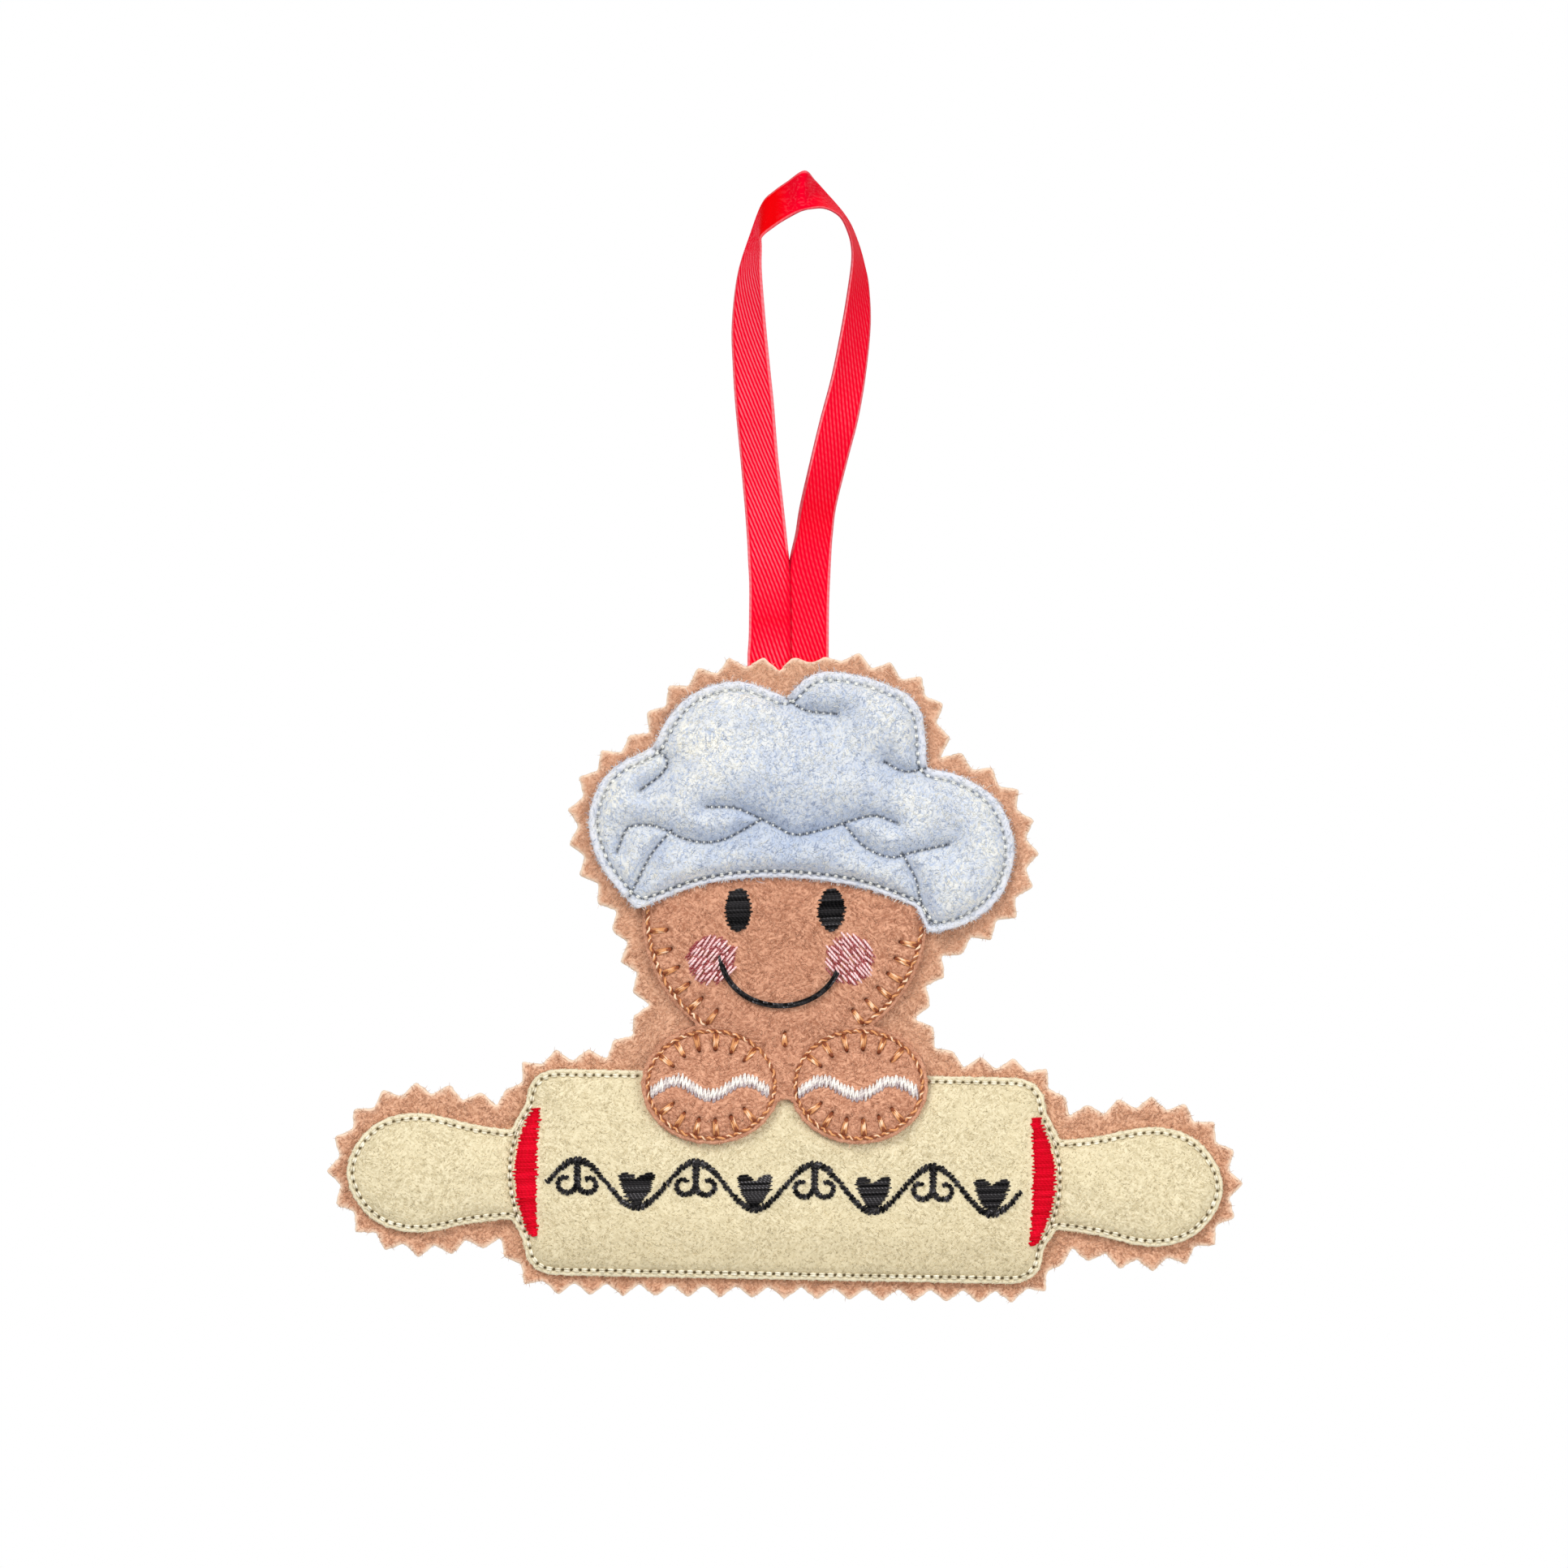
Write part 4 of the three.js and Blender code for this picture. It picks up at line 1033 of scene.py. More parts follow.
@dataclass
class Strands:
    """Short round strands, such as stitches or fibres, gathered into one shape."""

    sides: int = 6
    flatness: float = 1.0
    shape: Shape = field(default_factory=Shape)

    def lay(
        self, paths: Array, radius: Array | float, slot: Array | int = 0, tone: Array | None = None
    ) -> None:
        """Lays a batch of strands.

        Args:
            paths: Their lines, (strands, points, 3).
            radius: One radius for all or one for each point of each strand.
            slot: The material slot, one for all or one for each strand.
            tone: A tone from 0 to 1 for each strand.
        """
        copies, steps, _ = paths.shape
        thick = np.broadcast_to(np.asarray(radius, float), (copies, steps))
        ahead = unit(np.gradient(paths, axis=1))
        chord = unit(paths[:, -1, :2] - paths[:, 0, :2])
        level = unit(ahead[:, :, :2] + 0.5 * chord[:, None])
        across = np.stack([level[..., 1], -level[..., 0], np.zeros_like(thick)], axis=-1)
        above = np.cross(across, ahead)
        turn = np.linspace(0, math.tau, self.sides, endpoint=False)
        cosine, sine = np.cos(turn), np.sin(turn)
        reach = thick[:, 1:-1, None, None]
        rings = (
            paths[:, 1:-1, None]
            + reach * cosine[:, None] * across[:, 1:-1, None]
            + reach * self.flatness * sine[:, None] * above[:, 1:-1, None]
        )
        inner = steps - 2
        body = rings.reshape(-1, 3)
        tips = paths[:, [0, -1]].reshape(-1, 3)
        first = np.arange(copies)[:, None] * inner * self.sides
        side = np.arange(self.sides)
        after = (side + 1) % self.sides
        start_tip = len(body) + 2 * np.arange(copies)[:, None]
        last = first + (inner - 1) * self.sides
        tip = np.broadcast_to(start_tip, (copies, self.sides))
        start_caps = np.stack([tip, first + side, first + after], -1)
        end_caps = np.stack([tip + 1, last + after, last + side], -1)
        quads = grid_faces(inner, self.sides, copies)
        slots = np.broadcast_to(slot, copies)
        along = np.cumsum(np.linalg.norm(np.diff(paths, axis=1, prepend=paths[:, :1]), axis=2), axis=1)
        twist = np.zeros((copies, inner, self.sides, 3))
        twist[..., 0] = along[:, 1:-1, None]
        twist[..., 1] = cosine
        twist[..., 2] = sine
        end_twist = np.zeros((len(tips), 3))
        end_twist[:, 0] = along[:, [0, -1]].ravel()
        tones = np.full(copies, 0.5) if tone is None else tone
        batches = [quads, start_caps.reshape(-1, 3), end_caps.reshape(-1, 3)]
        self.shape.add(
            np.vstack([body, tips]), batches, [np.repeat(slots, len(batch) // copies) for batch in batches],
            twist=np.vstack([twist.reshape(-1, 3), end_twist]),
            tone=np.concatenate([np.repeat(tones, inner * self.sides), np.repeat(tones, 2)]),
        )


@dataclass
class Relief:
    """The height of a felt's face: its level, pulled down along its seams and stitches."""

    level: Height
    seams: Array = field(default_factory=nowhere)
    holes: Array = field(default_factory=nowhere)
    slits: Array | None = None
    grooves: Array = field(default_factory=nowhere)
    sink: float = 0.4
    reach: float = 0.75
    groove_sink: float = 0.22
    groove_reach: float = 0.4
    pit: float = 0.6
    pit_reach: float = 0.2
    pit_shade: float = 1.1
    swell: float = 0.1
    swell_width: float = 6.0
    grain: float = 0.03
    grain_width: float = 1.6
    seam_shade: float = 0.35
    seam_shade_reach: float = 0.35
    groove_shade: float = 0.5
    # how strong the painted shade in the needle holes is, by place
    strength: Height | None = None
    # painted shading by place: above zero painted shade, below zero painted light
    painted_shading: Height | None = None
    seed: int = SEED

    def __post_init__(self) -> None:
        """Sorts the seams, grooves and holes for searching."""
        self.to_seam, self.to_groove = Nearness(self.seams), Nearness(self.grooves)
        self.to_slit = Nearness(self.holes if self.slits is None else self.slits)

    def height(self, places: Array) -> Array:
        """Finds the height of the face.

        Args:
            places: Places in the panel, (n, 2).

        Returns:
            Their heights in millimetres.
        """
        made = self.level(places) + self.swell * ripple(places, self.swell_width, self.seed)
        made = made + self.grain * ripple(places, self.grain_width, self.seed + 1)
        made = made - self.sink * bell(self.to_seam.away(places), self.reach)
        made = made - self.groove_sink * bell(self.to_groove.away(places), self.groove_reach)
        return made - self.pit * bell(self.to_slit.away(places), self.pit_reach)

    def shade(self, places: Array) -> Array:
        """Finds how dark the face is from needle holes and the creases beside stitches.

        Args:
            places: Places in the panel, (n, 2).

        Returns:
            0 for plain felt to 1 for a hole.
        """
        crease = self.groove_shade * bell(self.to_groove.away(places), self.groove_reach)
        crease = crease + self.seam_shade * bell(self.to_seam.away(places), self.seam_shade_reach)
        pits = bell(self.to_slit.away(places), self.pit_reach * self.pit_shade)
        if self.strength:
            pits = pits * self.strength(places)
        return np.clip(np.maximum(crease, pits), 0, 1)


def slits_at(holes: Array, closed: bool, half: float = 0.17) -> Array:
    """Needle holes drawn out along their seam by the pull of the thread."""
    ahead = headings(holes, closed)
    return np.vstack([holes + share * half * ahead for share in (-1, 0, 1)])


@dataclass
class FeltSheet:
    """A felt cut to an outline: a fine face with seams and holes, a round cut rim, and a nap of fibres."""

    node: str
    finish: FeltFinish
    nap: NapFinish
    relief: Relief
    thickness: float
    facing: Facing = Facing.FRONT
    spacing: float = 0.62
    edge_step: float = 0.42
    edge_push: float = 0.06
    edge_push_width: float = 1.3
    hole_rings: tuple = ((0.0, 1), (0.17, 4), (0.34, 7))   # radius and how many vertices
    hole_clear: float = 0.45
    rim: float = 0.35
    # the rings of the cut edge: share of the rim inwards, share of the thickness up
    rounds: tuple[Pair, ...] = ((0.4, 0.92), (0.08, 0.75), (0.0, 0.5), (0.05, 0.25), (0.35, 0.06), (1.0, 0.0))
    wear: int = 3
    hidden: tuple[Outline, ...] = ()
    back: Height | None = None
    sewn: Array | None = None
    fibres_per_mm2: float = 7.0
    fibre_limit: int = 16000
    fibre_length: Pair = (0.4, 1.15)
    fibre_radius: Pair = (0.022, 0.042)
    fibre_points: int = 4
    fibre_lift: float = 0.09
    fibre_clear: float = 0.01
    fibre_root: float = 0.04
    lay_turn: float = 0.6
    lay_sway: float = 0.9
    lay_width: float = 9.0
    lay_stray: float = 0.7
    curl: float = 0.4
    clear_of_thread: float = 0.2
    patch: float = 1.0
    patch_share: float = 0.4
    # how far painted shading moves the nap to darker or paler tones
    painted_shading_share: float = 2.5
    fringe_per_mm: float = 2.5
    fringe_length: Pair = (0.08, 0.24)
    fringe_radius: Pair = (0.018, 0.032)
    fringe_tones: tuple[float, ...] | None = None
    long_hairs: float = 0.005
    long_hair: float = 3.0
    # how much of the cut edge's colour, partly painted highlight, the face near the edge and the rim take
    lip: float = 0.55
    lip_width: float = 0.8
    bare_rim: float = 0.12
    seed: int = SEED

    def __post_init__(self) -> None:
        """Takes the outline from the CAD node and wears its corners."""
        cut = Outline.of_node(self.node).spaced(self.edge_step).softened(self.wear)
        push = self.edge_push * ripple(cut.points, self.edge_push_width, self.seed + 5)
        self.outline = Outline(cut.points + push[:, None] * leftwards(headings(cut.points, True)))
        self.random = np.random.default_rng(self.seed)

    def build(self, name: str, rests_on: Sequence[str], held: str) -> None:
        """Makes the sheet and its nap.

        Args:
            name: The sheet's name.
            rests_on: The pieces or nodes that carry it; not used.
            held: How it is held; not used.
        """
        sheet = self.sheet_shape().piece(name, [self.finish.material()], self.facing)
        fibres = self.nap_strands().shape.piece(f"{name}_nap", self.nap.materials(), self.facing)
        dress(sheet, self.finish.slot, self.node)
        dress(fibres, self.finish.slot)
        width, height, _ = np.ptp(PANEL.box(self.node), axis=0) * MM
        Outline.of_node(self.node).area * MM * MM

    def face_points(self, edge: Outline) -> Array:
        """Places the face's vertices: a loose grid, with rings round the needle holes.

        Args:
            edge: The line that the face ends at.

        Returns:
            The places, (n, 2).
        """
        low, high = edge.points.min(axis=0), edge.points.max(axis=0)
        rows = np.arange(low[1], high[1], self.spacing * 0.87)
        across = np.arange(low[0], high[0], self.spacing)
        grid = np.array([(x + self.spacing * 0.5 * (i % 2), y) for i, y in enumerate(rows) for x in across])
        grid += self.random.uniform(-0.18, 0.18, grid.shape) * self.spacing
        extra = [grid]
        if len(self.relief.holes):
            for radius, count in self.hole_rings:
                ring = arc((0, 0), radius, np.linspace(0, math.tau, count, endpoint=False))
                extra.append((self.relief.holes[:, None] + ring[None]).reshape(-1, 2))
            away = Nearness(self.relief.holes).away(grid)
            extra[0] = grid[away > self.hole_clear]
        places = np.vstack(extra)
        return places[edge.depth(places) > 0.3 * self.spacing]

    def sheet_shape(self) -> Shape:
        """Builds the felt itself.

        Returns:
            One closed shape.
        """
        edge = self.outline.inset(self.rim)
        places = self.face_points(edge)
        count = len(edge.points)
        ring = [(i, (i + 1) % count) for i in range(count)]
        vectors = [Vector(p) for p in np.vstack([edge.points, places])]
        points, _, triangles, origin, *_ = delaunay_2d_cdt(vectors, ring, [], 1, 1e-5)
        face = np.array([tuple(p) for p in points])
        slot_of = {old: new for new, olds in enumerate(origin) for old in olds}
        rim_ids = np.array([slot_of[i] for i in range(count)])
        top = self.relief.height(face)
        front = np.column_stack([face, top])
        rim_top = top[rim_ids]
        under = self.back(self.outline.points) if self.back else rim_top - self.thickness
        rings = [front[rim_ids]]
        for share, height in self.rounds:
            place = self.outline.inset(self.rim * share).points
            rings.append(np.column_stack([place, under + (rim_top - under) * height]))
        quads = []
        last = rim_ids
        for k in range(len(rings) - 1):
            ids = len(front) + k * count + np.arange(count)
            quads.append(np.column_stack([last, ids, np.roll(ids, -1), np.roll(last, -1)]))
            last = ids
        closing = last[capped(rings[-1][:, :2])][:, ::-1]
        points3 = np.vstack([front, *rings[1:]])
        marks = np.zeros((len(points3), 3))
        marks[: len(front), 0] = self.relief.shade(face)
        # the pale cut edge, partly painted highlight, fades in towards the outline
        inside = np.clip(1.3 - self.outline.depth(face) / self.lip_width, 0, 1)
        marks[: len(front), 1] = self.lip * inside
        marks[len(front):, 1] = self.lip
        # the third mark: painted shading
        if self.relief.painted_shading:
            marks[: len(front), 2] = self.relief.painted_shading(face)
        made = Shape()
        made.add(points3, [np.array(triangles), np.vstack(quads), closing], marks=marks)
        return made

    def roots(self) -> Array:
        """Picks random places for fibres on the part of the face that shows.

        Returns:
            The places, (n, 2).
        """
        low, high = self.outline.points.min(axis=0), self.outline.points.max(axis=0)
        count = int(self.fibres_per_mm2 * np.prod(high - low))
        places = self.random.uniform(low, high, (count, 2))
        places = places[self.outline.depth(places) > self.bare_rim]
        for cover in self.hidden:
            places = places[cover.depth(places) < 0.6]
        return places

    def wander(self, roots: Array, heading: Array, length: Array) -> Array:
        """Lets fibres wander from their roots.

        Args:
            roots: Where they start.
            heading: Their first directions, as angles.
            length: Their lengths.

        Returns:
            Their lines in the panel, (fibres, points, 2).
        """
        bends = self.fibre_points - 1
        turns = heading[:, None] + np.cumsum(self.random.normal(0, self.curl, (len(roots), bends)), axis=1)
        turns += np.sign(self.random.uniform(-1, 1, len(roots)))[:, None] * np.linspace(0, self.curl, bends)
        step = (length / bends)[:, None, None]
        moves = step * np.stack([np.cos(turns), np.sin(turns)], axis=-1)
        return np.concatenate([roots[:, None], roots[:, None] + np.cumsum(moves, axis=1)], axis=1)

    def nap_strands(self) -> Strands:
        """Makes the nap: curled fibres on the face and short ones that stick out of the cut edge.

        Returns:
            The fibres, with a slot for each tone.
        """
        strands = Strands(sides=3)
        random = self.random
        roots = self.roots()
        count = len(roots)
        lay = self.lay_turn + self.lay_sway * ripple(roots, self.lay_width, self.seed + 8)
        lay += random.normal(0, self.lay_stray, count)
        lay += math.pi * random.integers(0, 2, count)
        lines = self.wander(roots, lay, random.uniform(*self.fibre_length, count))
        clear = np.ones(count, bool)
        if self.sewn is not None:
            away = Nearness(self.sewn).away(lines.reshape(-1, 2)).reshape(count, -1)
            clear = away.min(axis=1) > self.clear_of_thread
        lines = lines[clear][: self.fibre_limit - int(self.outline.length * self.fringe_per_mm)]
        count = len(lines)
        lift = random.uniform(0.0, self.fibre_lift, (count, self.fibre_points)) + self.fibre_clear
        lift[:, [0, -1]] = -self.fibre_root
        height = self.relief.height(lines.reshape(-1, 2)).reshape(count, -1)
        paths = raised(lines, height + lift)
        roots = lines[:, 0]
        tone = self.patch_share * ripple(roots, self.patch, self.seed + 9) + random.normal(0, 1.0, count)
        # painted shading: darker fibres in painted shade, paler ones where it is below zero
        if self.relief.painted_shading:
            tone -= self.painted_shading_share * self.relief.painted_shading(roots)
        slots = np.digitize(tone, np.quantile(tone, np.cumsum(self.nap.shares)[:-1]))
        strands.lay(paths, random.uniform(*self.fibre_radius, (count, 1)), slots)
        self.fringe(strands)
        return strands

    def fringe(self, strands: Strands) -> None:
        """Adds the short fibres of the cut edge, and a few long loose hairs.

        Args:
            strands: The nap that they join.
        """
        random = self.random
        count = int(self.outline.length * self.fringe_per_mm)
        edge = self.outline.spaced(0.1)
        pick = random.integers(0, len(edge.points), count)
        outwards = -leftwards(headings(edge.points, True))[pick]
        roots = edge.points[pick] - 0.1 * outwards
        heading = np.arctan2(outwards[:, 1], outwards[:, 0]) + random.normal(0, 0.9, count)
        length = random.uniform(*self.fringe_length, count)
        length[random.uniform(0, 1, count) < self.long_hairs] *= self.long_hair
        lines = self.wander(roots, heading, length)
        top = self.relief.height(edge.points)[pick]
        across = top - self.thickness * random.uniform(0.02, 0.98, count)
        lift = np.linspace(0, 1, self.fibre_points) * random.normal(0, 0.12, (count, 1))
        paths = raised(lines, across[:, None] + lift)
        slots = random.choice(len(self.nap.tones), count, p=self.fringe_tones or self.nap.shares)
        strands.lay(paths, random.uniform(*self.fringe_radius, (count, 1)), slots)


@dataclass
class Sewing:
    """Thread work of one colour on a felt."""

    finish: ThreadFinish
    height: Height
    radius: float = 0.18
    seed: int = SEED
    dive: float = 0.3
    row_climb: float = 0.25
    strands: Strands = field(default_factory=lambda: Strands(flatness=0.85))
    laid: list[Array] = field(default_factory=list)

    def __post_init__(self) -> None:
        """Seeds the unevenness of the hand."""
        self.random = np.random.default_rng(self.seed)

    def stitch(
        self, start: Array, end: Array, rise: float = 0.16, radius: float | None = None,
        tone: Pair = (0.0, 1.0),
    ) -> None:
        """Lays straight stitches from hole to hole.

        Args:
            start: The first holes, (n, 2).
            end: The second holes, (n, 2).
            rise: How far the thread stands over the felt.
            radius: The strand's radius, if it isn't the usual one.
            tone: The range of the strands' tones, dark 0 to light 1.
        """
        if not len(start):
            return
        thick = radius or self.radius
        shares = np.array([0.0, 0.05, 0.16, 0.34, 0.5, 0.66, 0.84, 0.95, 1.0])
        arch = np.array([-1.0, -0.55, 0.25, 0.85, 1.0, 0.85, 0.25, -0.55, -1.0])
        lines = start[:, None] + (end - start)[:, None] * shares[:, None]
        self.laid.append(lines.reshape(-1, 2))
        base = self.height(lines.reshape(-1, 2)).reshape(len(start), -1)
        lift = np.where(arch > 0, arch * rise, arch * self.dive) + 0.5 * thick
        uneven = self.random.normal(0, 0.02, (len(start), 1))
        paths = raised(lines, base + lift + uneven)
        swell = np.array([0.5, 0.75, 0.95, 1.0, 1.02, 1.0, 0.95, 0.75, 0.5])
        self.strands.lay(paths, thick * swell, 0, self.random.uniform(*tone, len(start)))

    def rope(self, line: Array, radius: float, pitch: float, tone: Pair) -> None:
        """Lays two plies that twist round each other along a line.

        Args:
            line: The line, (n, 2).
            radius: The radius of a ply.
            pitch: The length of one turn.
            tone: The tones of the two plies.
        """
        path = spread_along(line, pitch / 8, False)
        self.laid.append(path)
        along = walked(path)
        side = leftwards(headings(path, False))
        base = self.height(path)
        for k in range(2):
            slack = 1.1 * np.sin(along * math.tau / (3.3 * pitch) + 2 * k)
            turn = along * math.tau / pitch + math.pi * k + slack
            sway = 0.85 * radius * np.cos(turn) + self.random.normal(0, 0.02, len(path))
            rise = 0.9 * radius + 0.55 * radius * np.sin(turn)
            rise[[0, -1]] = -radius
            ply = np.column_stack([path + side * sway[:, None], base + rise])
            self.strands.lay(ply[None], radius, 0, np.array([tone[k]]))

    def run(
        self, holes: Array, closed: bool, strands: int = 2, spread: float = 0.13, gap: float = 0.24,
        radius: float | None = None,
    ) -> None:
        """A run of stitches through a row of holes.

        Args:
            holes: The needle holes in order, (n, 2).
            closed: Whether the last stitch returns to the first hole.
            strands: How many strands each stitch has.
            spread: How far the outer strands lie from the middle.
            gap: How much of each end of a stitch the hole leaves bare.
            radius: The strands' radius, if it isn't the usual one.
        """
        after = np.roll(holes, -1, axis=0) if closed else holes[1:]
        before = holes if closed else holes[:-1]
        ahead = unit(after - before)
        side = leftwards(ahead)
        for k in range(strands):
            off = spread * (2 * k / max(strands - 1, 1) - 1) if strands > 1 else 0.0
            shift = off + self.random.normal(0, 0.03, (len(before), 2))
            inset = (gap + self.random.normal(0, 0.035, (len(before), 1))) * ahead
            self.stitch(
                before + inset + side * shift[:, :1], after - inset + side * shift[:, 1:], radius=radius
            )

    def spikes(self, roots: Array, tips: Array, spread: float = 0.3) -> None:
        """Lays spikes of three light strands, which close up from root to tip, over a dark strand that paints
        the shade between them.

        Args:
            roots: Where they start, (n, 2).
            tips: Where they end.
            spread: How far apart the strands start.
        """
        ahead = tips - roots
        side = leftwards(unit(ahead))
        # painted shade: a wide dark strand under the light ones, seen in the gaps between them
        self.stitch(roots - 0.04 * ahead, roots + 1.06 * ahead, rise=0.06, radius=0.33, tone=(0.0, 0.1))
        for k in (-1, 1, 0):
            slack = self.random.normal(0, 0.035, (len(roots), 2))
            reach = 0.98 + self.random.normal(0, 0.04, (len(roots), 1))
            start = roots + 0.06 * ahead + side * (spread * k + slack[:, :1])
            end = roots + ahead * reach + side * (0.35 * spread * k + slack[:, 1:])
            self.stitch(start, end, rise=0.24 if k else 0.34, radius=0.185, tone=(0.6, 1.1))

    def column(
        self, line: Array, half: Array, pitch: float, rise: float = 0.3, lean: float = 0.0,
        upright: bool = False, jag: float = 0.06, tone: Pair = (0.0, 1.0),
    ) -> None:
        """Satin stitches across a line.

        Args:
            line: The middle of the column, (n, 2), evenly spaced.
            half: Half the column's width at each point.
            pitch: The distance from stitch to stitch.
            rise: How far the satin stands over the felt.
            lean: How far the stitches slant along the line.
            upright: Whether they run up the panel instead of square across the line.
            jag: How uneven their ends are.
            tone: The range of the strands' tones.
        """
        along = walked(line)
        goals = np.arange(0, along[-1], pitch) + self.random.uniform(0, 0.2 * pitch)
        goals = goals[goals < along[-1]]
        place = np.column_stack([np.interp(goals, along, line[:, k]) for k in range(2)])
        ahead = headings(line, False)
        way = unit(np.column_stack([np.interp(goals, along, ahead[:, k]) for k in range(2)]))
        width = np.interp(goals, along, half)[:, None]
        if upright:
            way = np.broadcast_to([1.0, 0.0], way.shape)
        side = leftwards(way)
        slack = self.random.normal(0, jag, (len(goals), 2))
        zigzag = way * pitch * 0.3 * np.where(np.arange(len(goals)) % 2, 1, -1)[:, None]
        start = place - side * (width + slack[:, :1]) - way * lean * width - zigzag
        end = place + side * (width + slack[:, 1:]) + way * lean * width + zigzag
        self.stitch(start, end, rise=rise, tone=tone)

    def fill(
        self, outline: Outline, pitch: float, rise: float = 0.32, jag: float = 0.08, tooth: float = 0.1,
        tone: Pair = (0.0, 1.0),
    ) -> None:
        """Satin rows that fill an outline.

        Args:
            outline: What they fill.
            pitch: The distance from row to row.
            rise: How far the satin stands over the felt.
            jag: How uneven the ends are.
            tooth: How far every other row stands out.
            tone: The range of the strands' tones.
        """
        low, high = outline.points[:, 1].min(), outline.points[:, 1].max()
        after = np.roll(outline.points, -1, axis=0)
        climb = self.row_climb * pitch
        starts, ends = [], []
        for i, y in enumerate(np.arange(low + pitch / 2, high, pitch)):
            crossing = (outline.points[:, 1] > y) != (after[:, 1] > y)
            a, b = outline.points[crossing], after[crossing]
            meets = np.sort(a[:, 0] + (y - a[:, 1]) / (b[:, 1] - a[:, 1]) * (b[:, 0] - a[:, 0]))
            for left, right in zip(meets[::2], meets[1::2]):
                if right - left > 0.3:
                    slack = self.random.normal(0, jag, 2) + tooth * (1 if i % 2 else -1)
                    starts.append((left - slack[0], y - climb))
                    ends.append((right + slack[1], y + climb))
        self.stitch(np.array(starts), np.array(ends), rise=rise, tone=tone)

    def piece(self, name: str, *nodes: str, facing: Facing = Facing.FRONT) -> None:
        """Makes the thread's object, which stands for CAD nodes.

        Args:
            name: The piece's name.
            nodes: The nodes that it replaces.
            facing: Which face of the ornament it is on.
        """
        dress(self.strands.shape.piece(name, [self.finish.material()], facing), self.finish.slot, *nodes)


@dataclass
class CooksHat:
    """The puffed hat: a felt quilted along its creases, with a double run round its edge."""

    puff: float = 2.3
    puff_reach: float = 7.5
    crease_half: float = 0.5
    sew_inset: float = 1.3
    brim_inset: float = 0.95
    inset_share: float = 0.88
    pitch: float = 1.3
    crease_pitch: float = 1.05
    over_head: float = 1.35
    brim_reach: float = 1.5
    softness: float = 0.8
    head: Outline = field(default_factory=lambda: Outline.ellipse(HEAD_CENTRE, HEAD_HALF))
    edge_slit: float = 0.34
    crease_slit: float = 0.42
    edge_run: Triple = (0.11, 0.33, 0.13)
    crease_run: Triple = (0.07, 0.38, 0.12)
    fold_reach: float = 3.0
    middle_reach: float = 13.0
    side_reach: float = 25.0
    crown_from: Pair = (0.55, 0.9)
    crown_side: float = 0.6
    brim_from: Pair = (0.3, 0.0)
    dark_reach: float = 1.2
    faint: float = 0.5
    # how much painted blue-grey shade: everywhere, in the folds, in the middle, at the right, at the brim, on
    # the lit crown
    painted_shade_weights: tuple[float, ...] = (0.02, 0.3, 0.4, 0.12, 0.14, -0.55)
    # the quilting lines, in widths and heights of the hat from its middle
    creases: tuple = (
        ((-0.345, 0.205), (-0.315, 0.159), (-0.33, 0.106), (-0.372, 0.054)),
        (
            (-0.431, -0.18), (-0.405, -0.096), (-0.34, -0.093), (-0.265, -0.145), (-0.19, -0.145),
            (-0.098, -0.07),
        ),
        ((-0.309, -0.114), (-0.355, -0.205), (-0.404, -0.36)),
        (
            (-0.219, -0.018), (-0.15, -0.025), (-0.062, -0.09), (-0.015, -0.124), (0.063, -0.097),
            (0.16, -0.052), (0.217, -0.075),
        ),
        ((0.101, -0.087), (0.149, -0.17), (0.208, -0.21), (0.265, -0.188), (0.34, -0.162)),
        ((0.24, -0.206), (0.27, -0.3), (0.277, -0.36), (0.3, -0.46)),
        ((0.29, 0.13), (0.24, 0.117), (0.2, 0.15)),
        ((-0.033, 0.395), (0.01, 0.35), (0.077, 0.337)),
    )

    def __post_init__(self) -> None:
        """Places the seams and their needle holes."""
        self.cut = Outline.of_node("hat_felt")
        middle, half = PANEL.middle("hat_felt")
        line = self.cut.spaced(OUTLINE_STEP).softened(6)
        brim = share_of(self.head.depth(line.points), 0, self.brim_reach)
        inset = self.sew_inset + (self.brim_inset - self.sew_inset) * brim
        moved = line.inset(inset[:, None]).points
        kept = moved[self.cut.depth(moved) > self.inset_share * inset]
        edge_holes = Outline(kept).spaced(OUTLINE_STEP).softened(4).spaced(self.pitch).points
        lines = [curve_through(middle + np.array(line) * 2 * half, 8) for line in self.creases]
        crease_holes = (spread_along(line, self.crease_pitch, False) for line in lines)
        self.rows = [(edge_holes, True), *((holes, False) for holes in crease_holes)]
        sunk = (spread_along(line, SEAM_STEP, False) for line in lines)
        self.seam = np.vstack([spread_along(edge_holes, SEAM_STEP, True), *sunk])
        self.to_crease = Nearness(np.vstack([spread_along(line, OUTLINE_STEP, False) for line in lines]))
        self.thickness = PANEL.thickness("front_felt")
        self.low = PANEL.box("hat_felt")[0, 2] + self.thickness

    def level(self, places: Array) -> Array:
        """Finds the puffed face without its stitches.

        Args:
            places: Places in the panel, (n, 2).

        Returns:
            Its heights in millimetres.
        """
        edge = np.maximum(self.cut.depth(places), 0)
        crease = self.to_crease.away(places)
        crease = np.maximum(crease - self.crease_half, 0) + self.crease_half
        pinned = -self.softness * np.log(np.exp(-edge / self.softness) + np.exp(-crease / self.softness))
        over = np.clip(1 + self.head.depth(places) / self.puff_reach, 0, 1)
        padding = self.puff * domed(share_of(pinned, 0, self.puff_reach))
        return self.low + padding + self.over_head * eased(over)

    def strength(self, places: Array) -> Array:
        """How strong the painted shade in a needle hole is: full in the creases and along the brim, fainter
        round the puffs.
        """
        near = bell(self.to_crease.away(places), self.dark_reach)
        brim = np.clip(self.head.depth(places) / self.brim_reach + 0.5, 0, 1)
        return self.faint + (1 - self.faint) * np.maximum(near, brim)

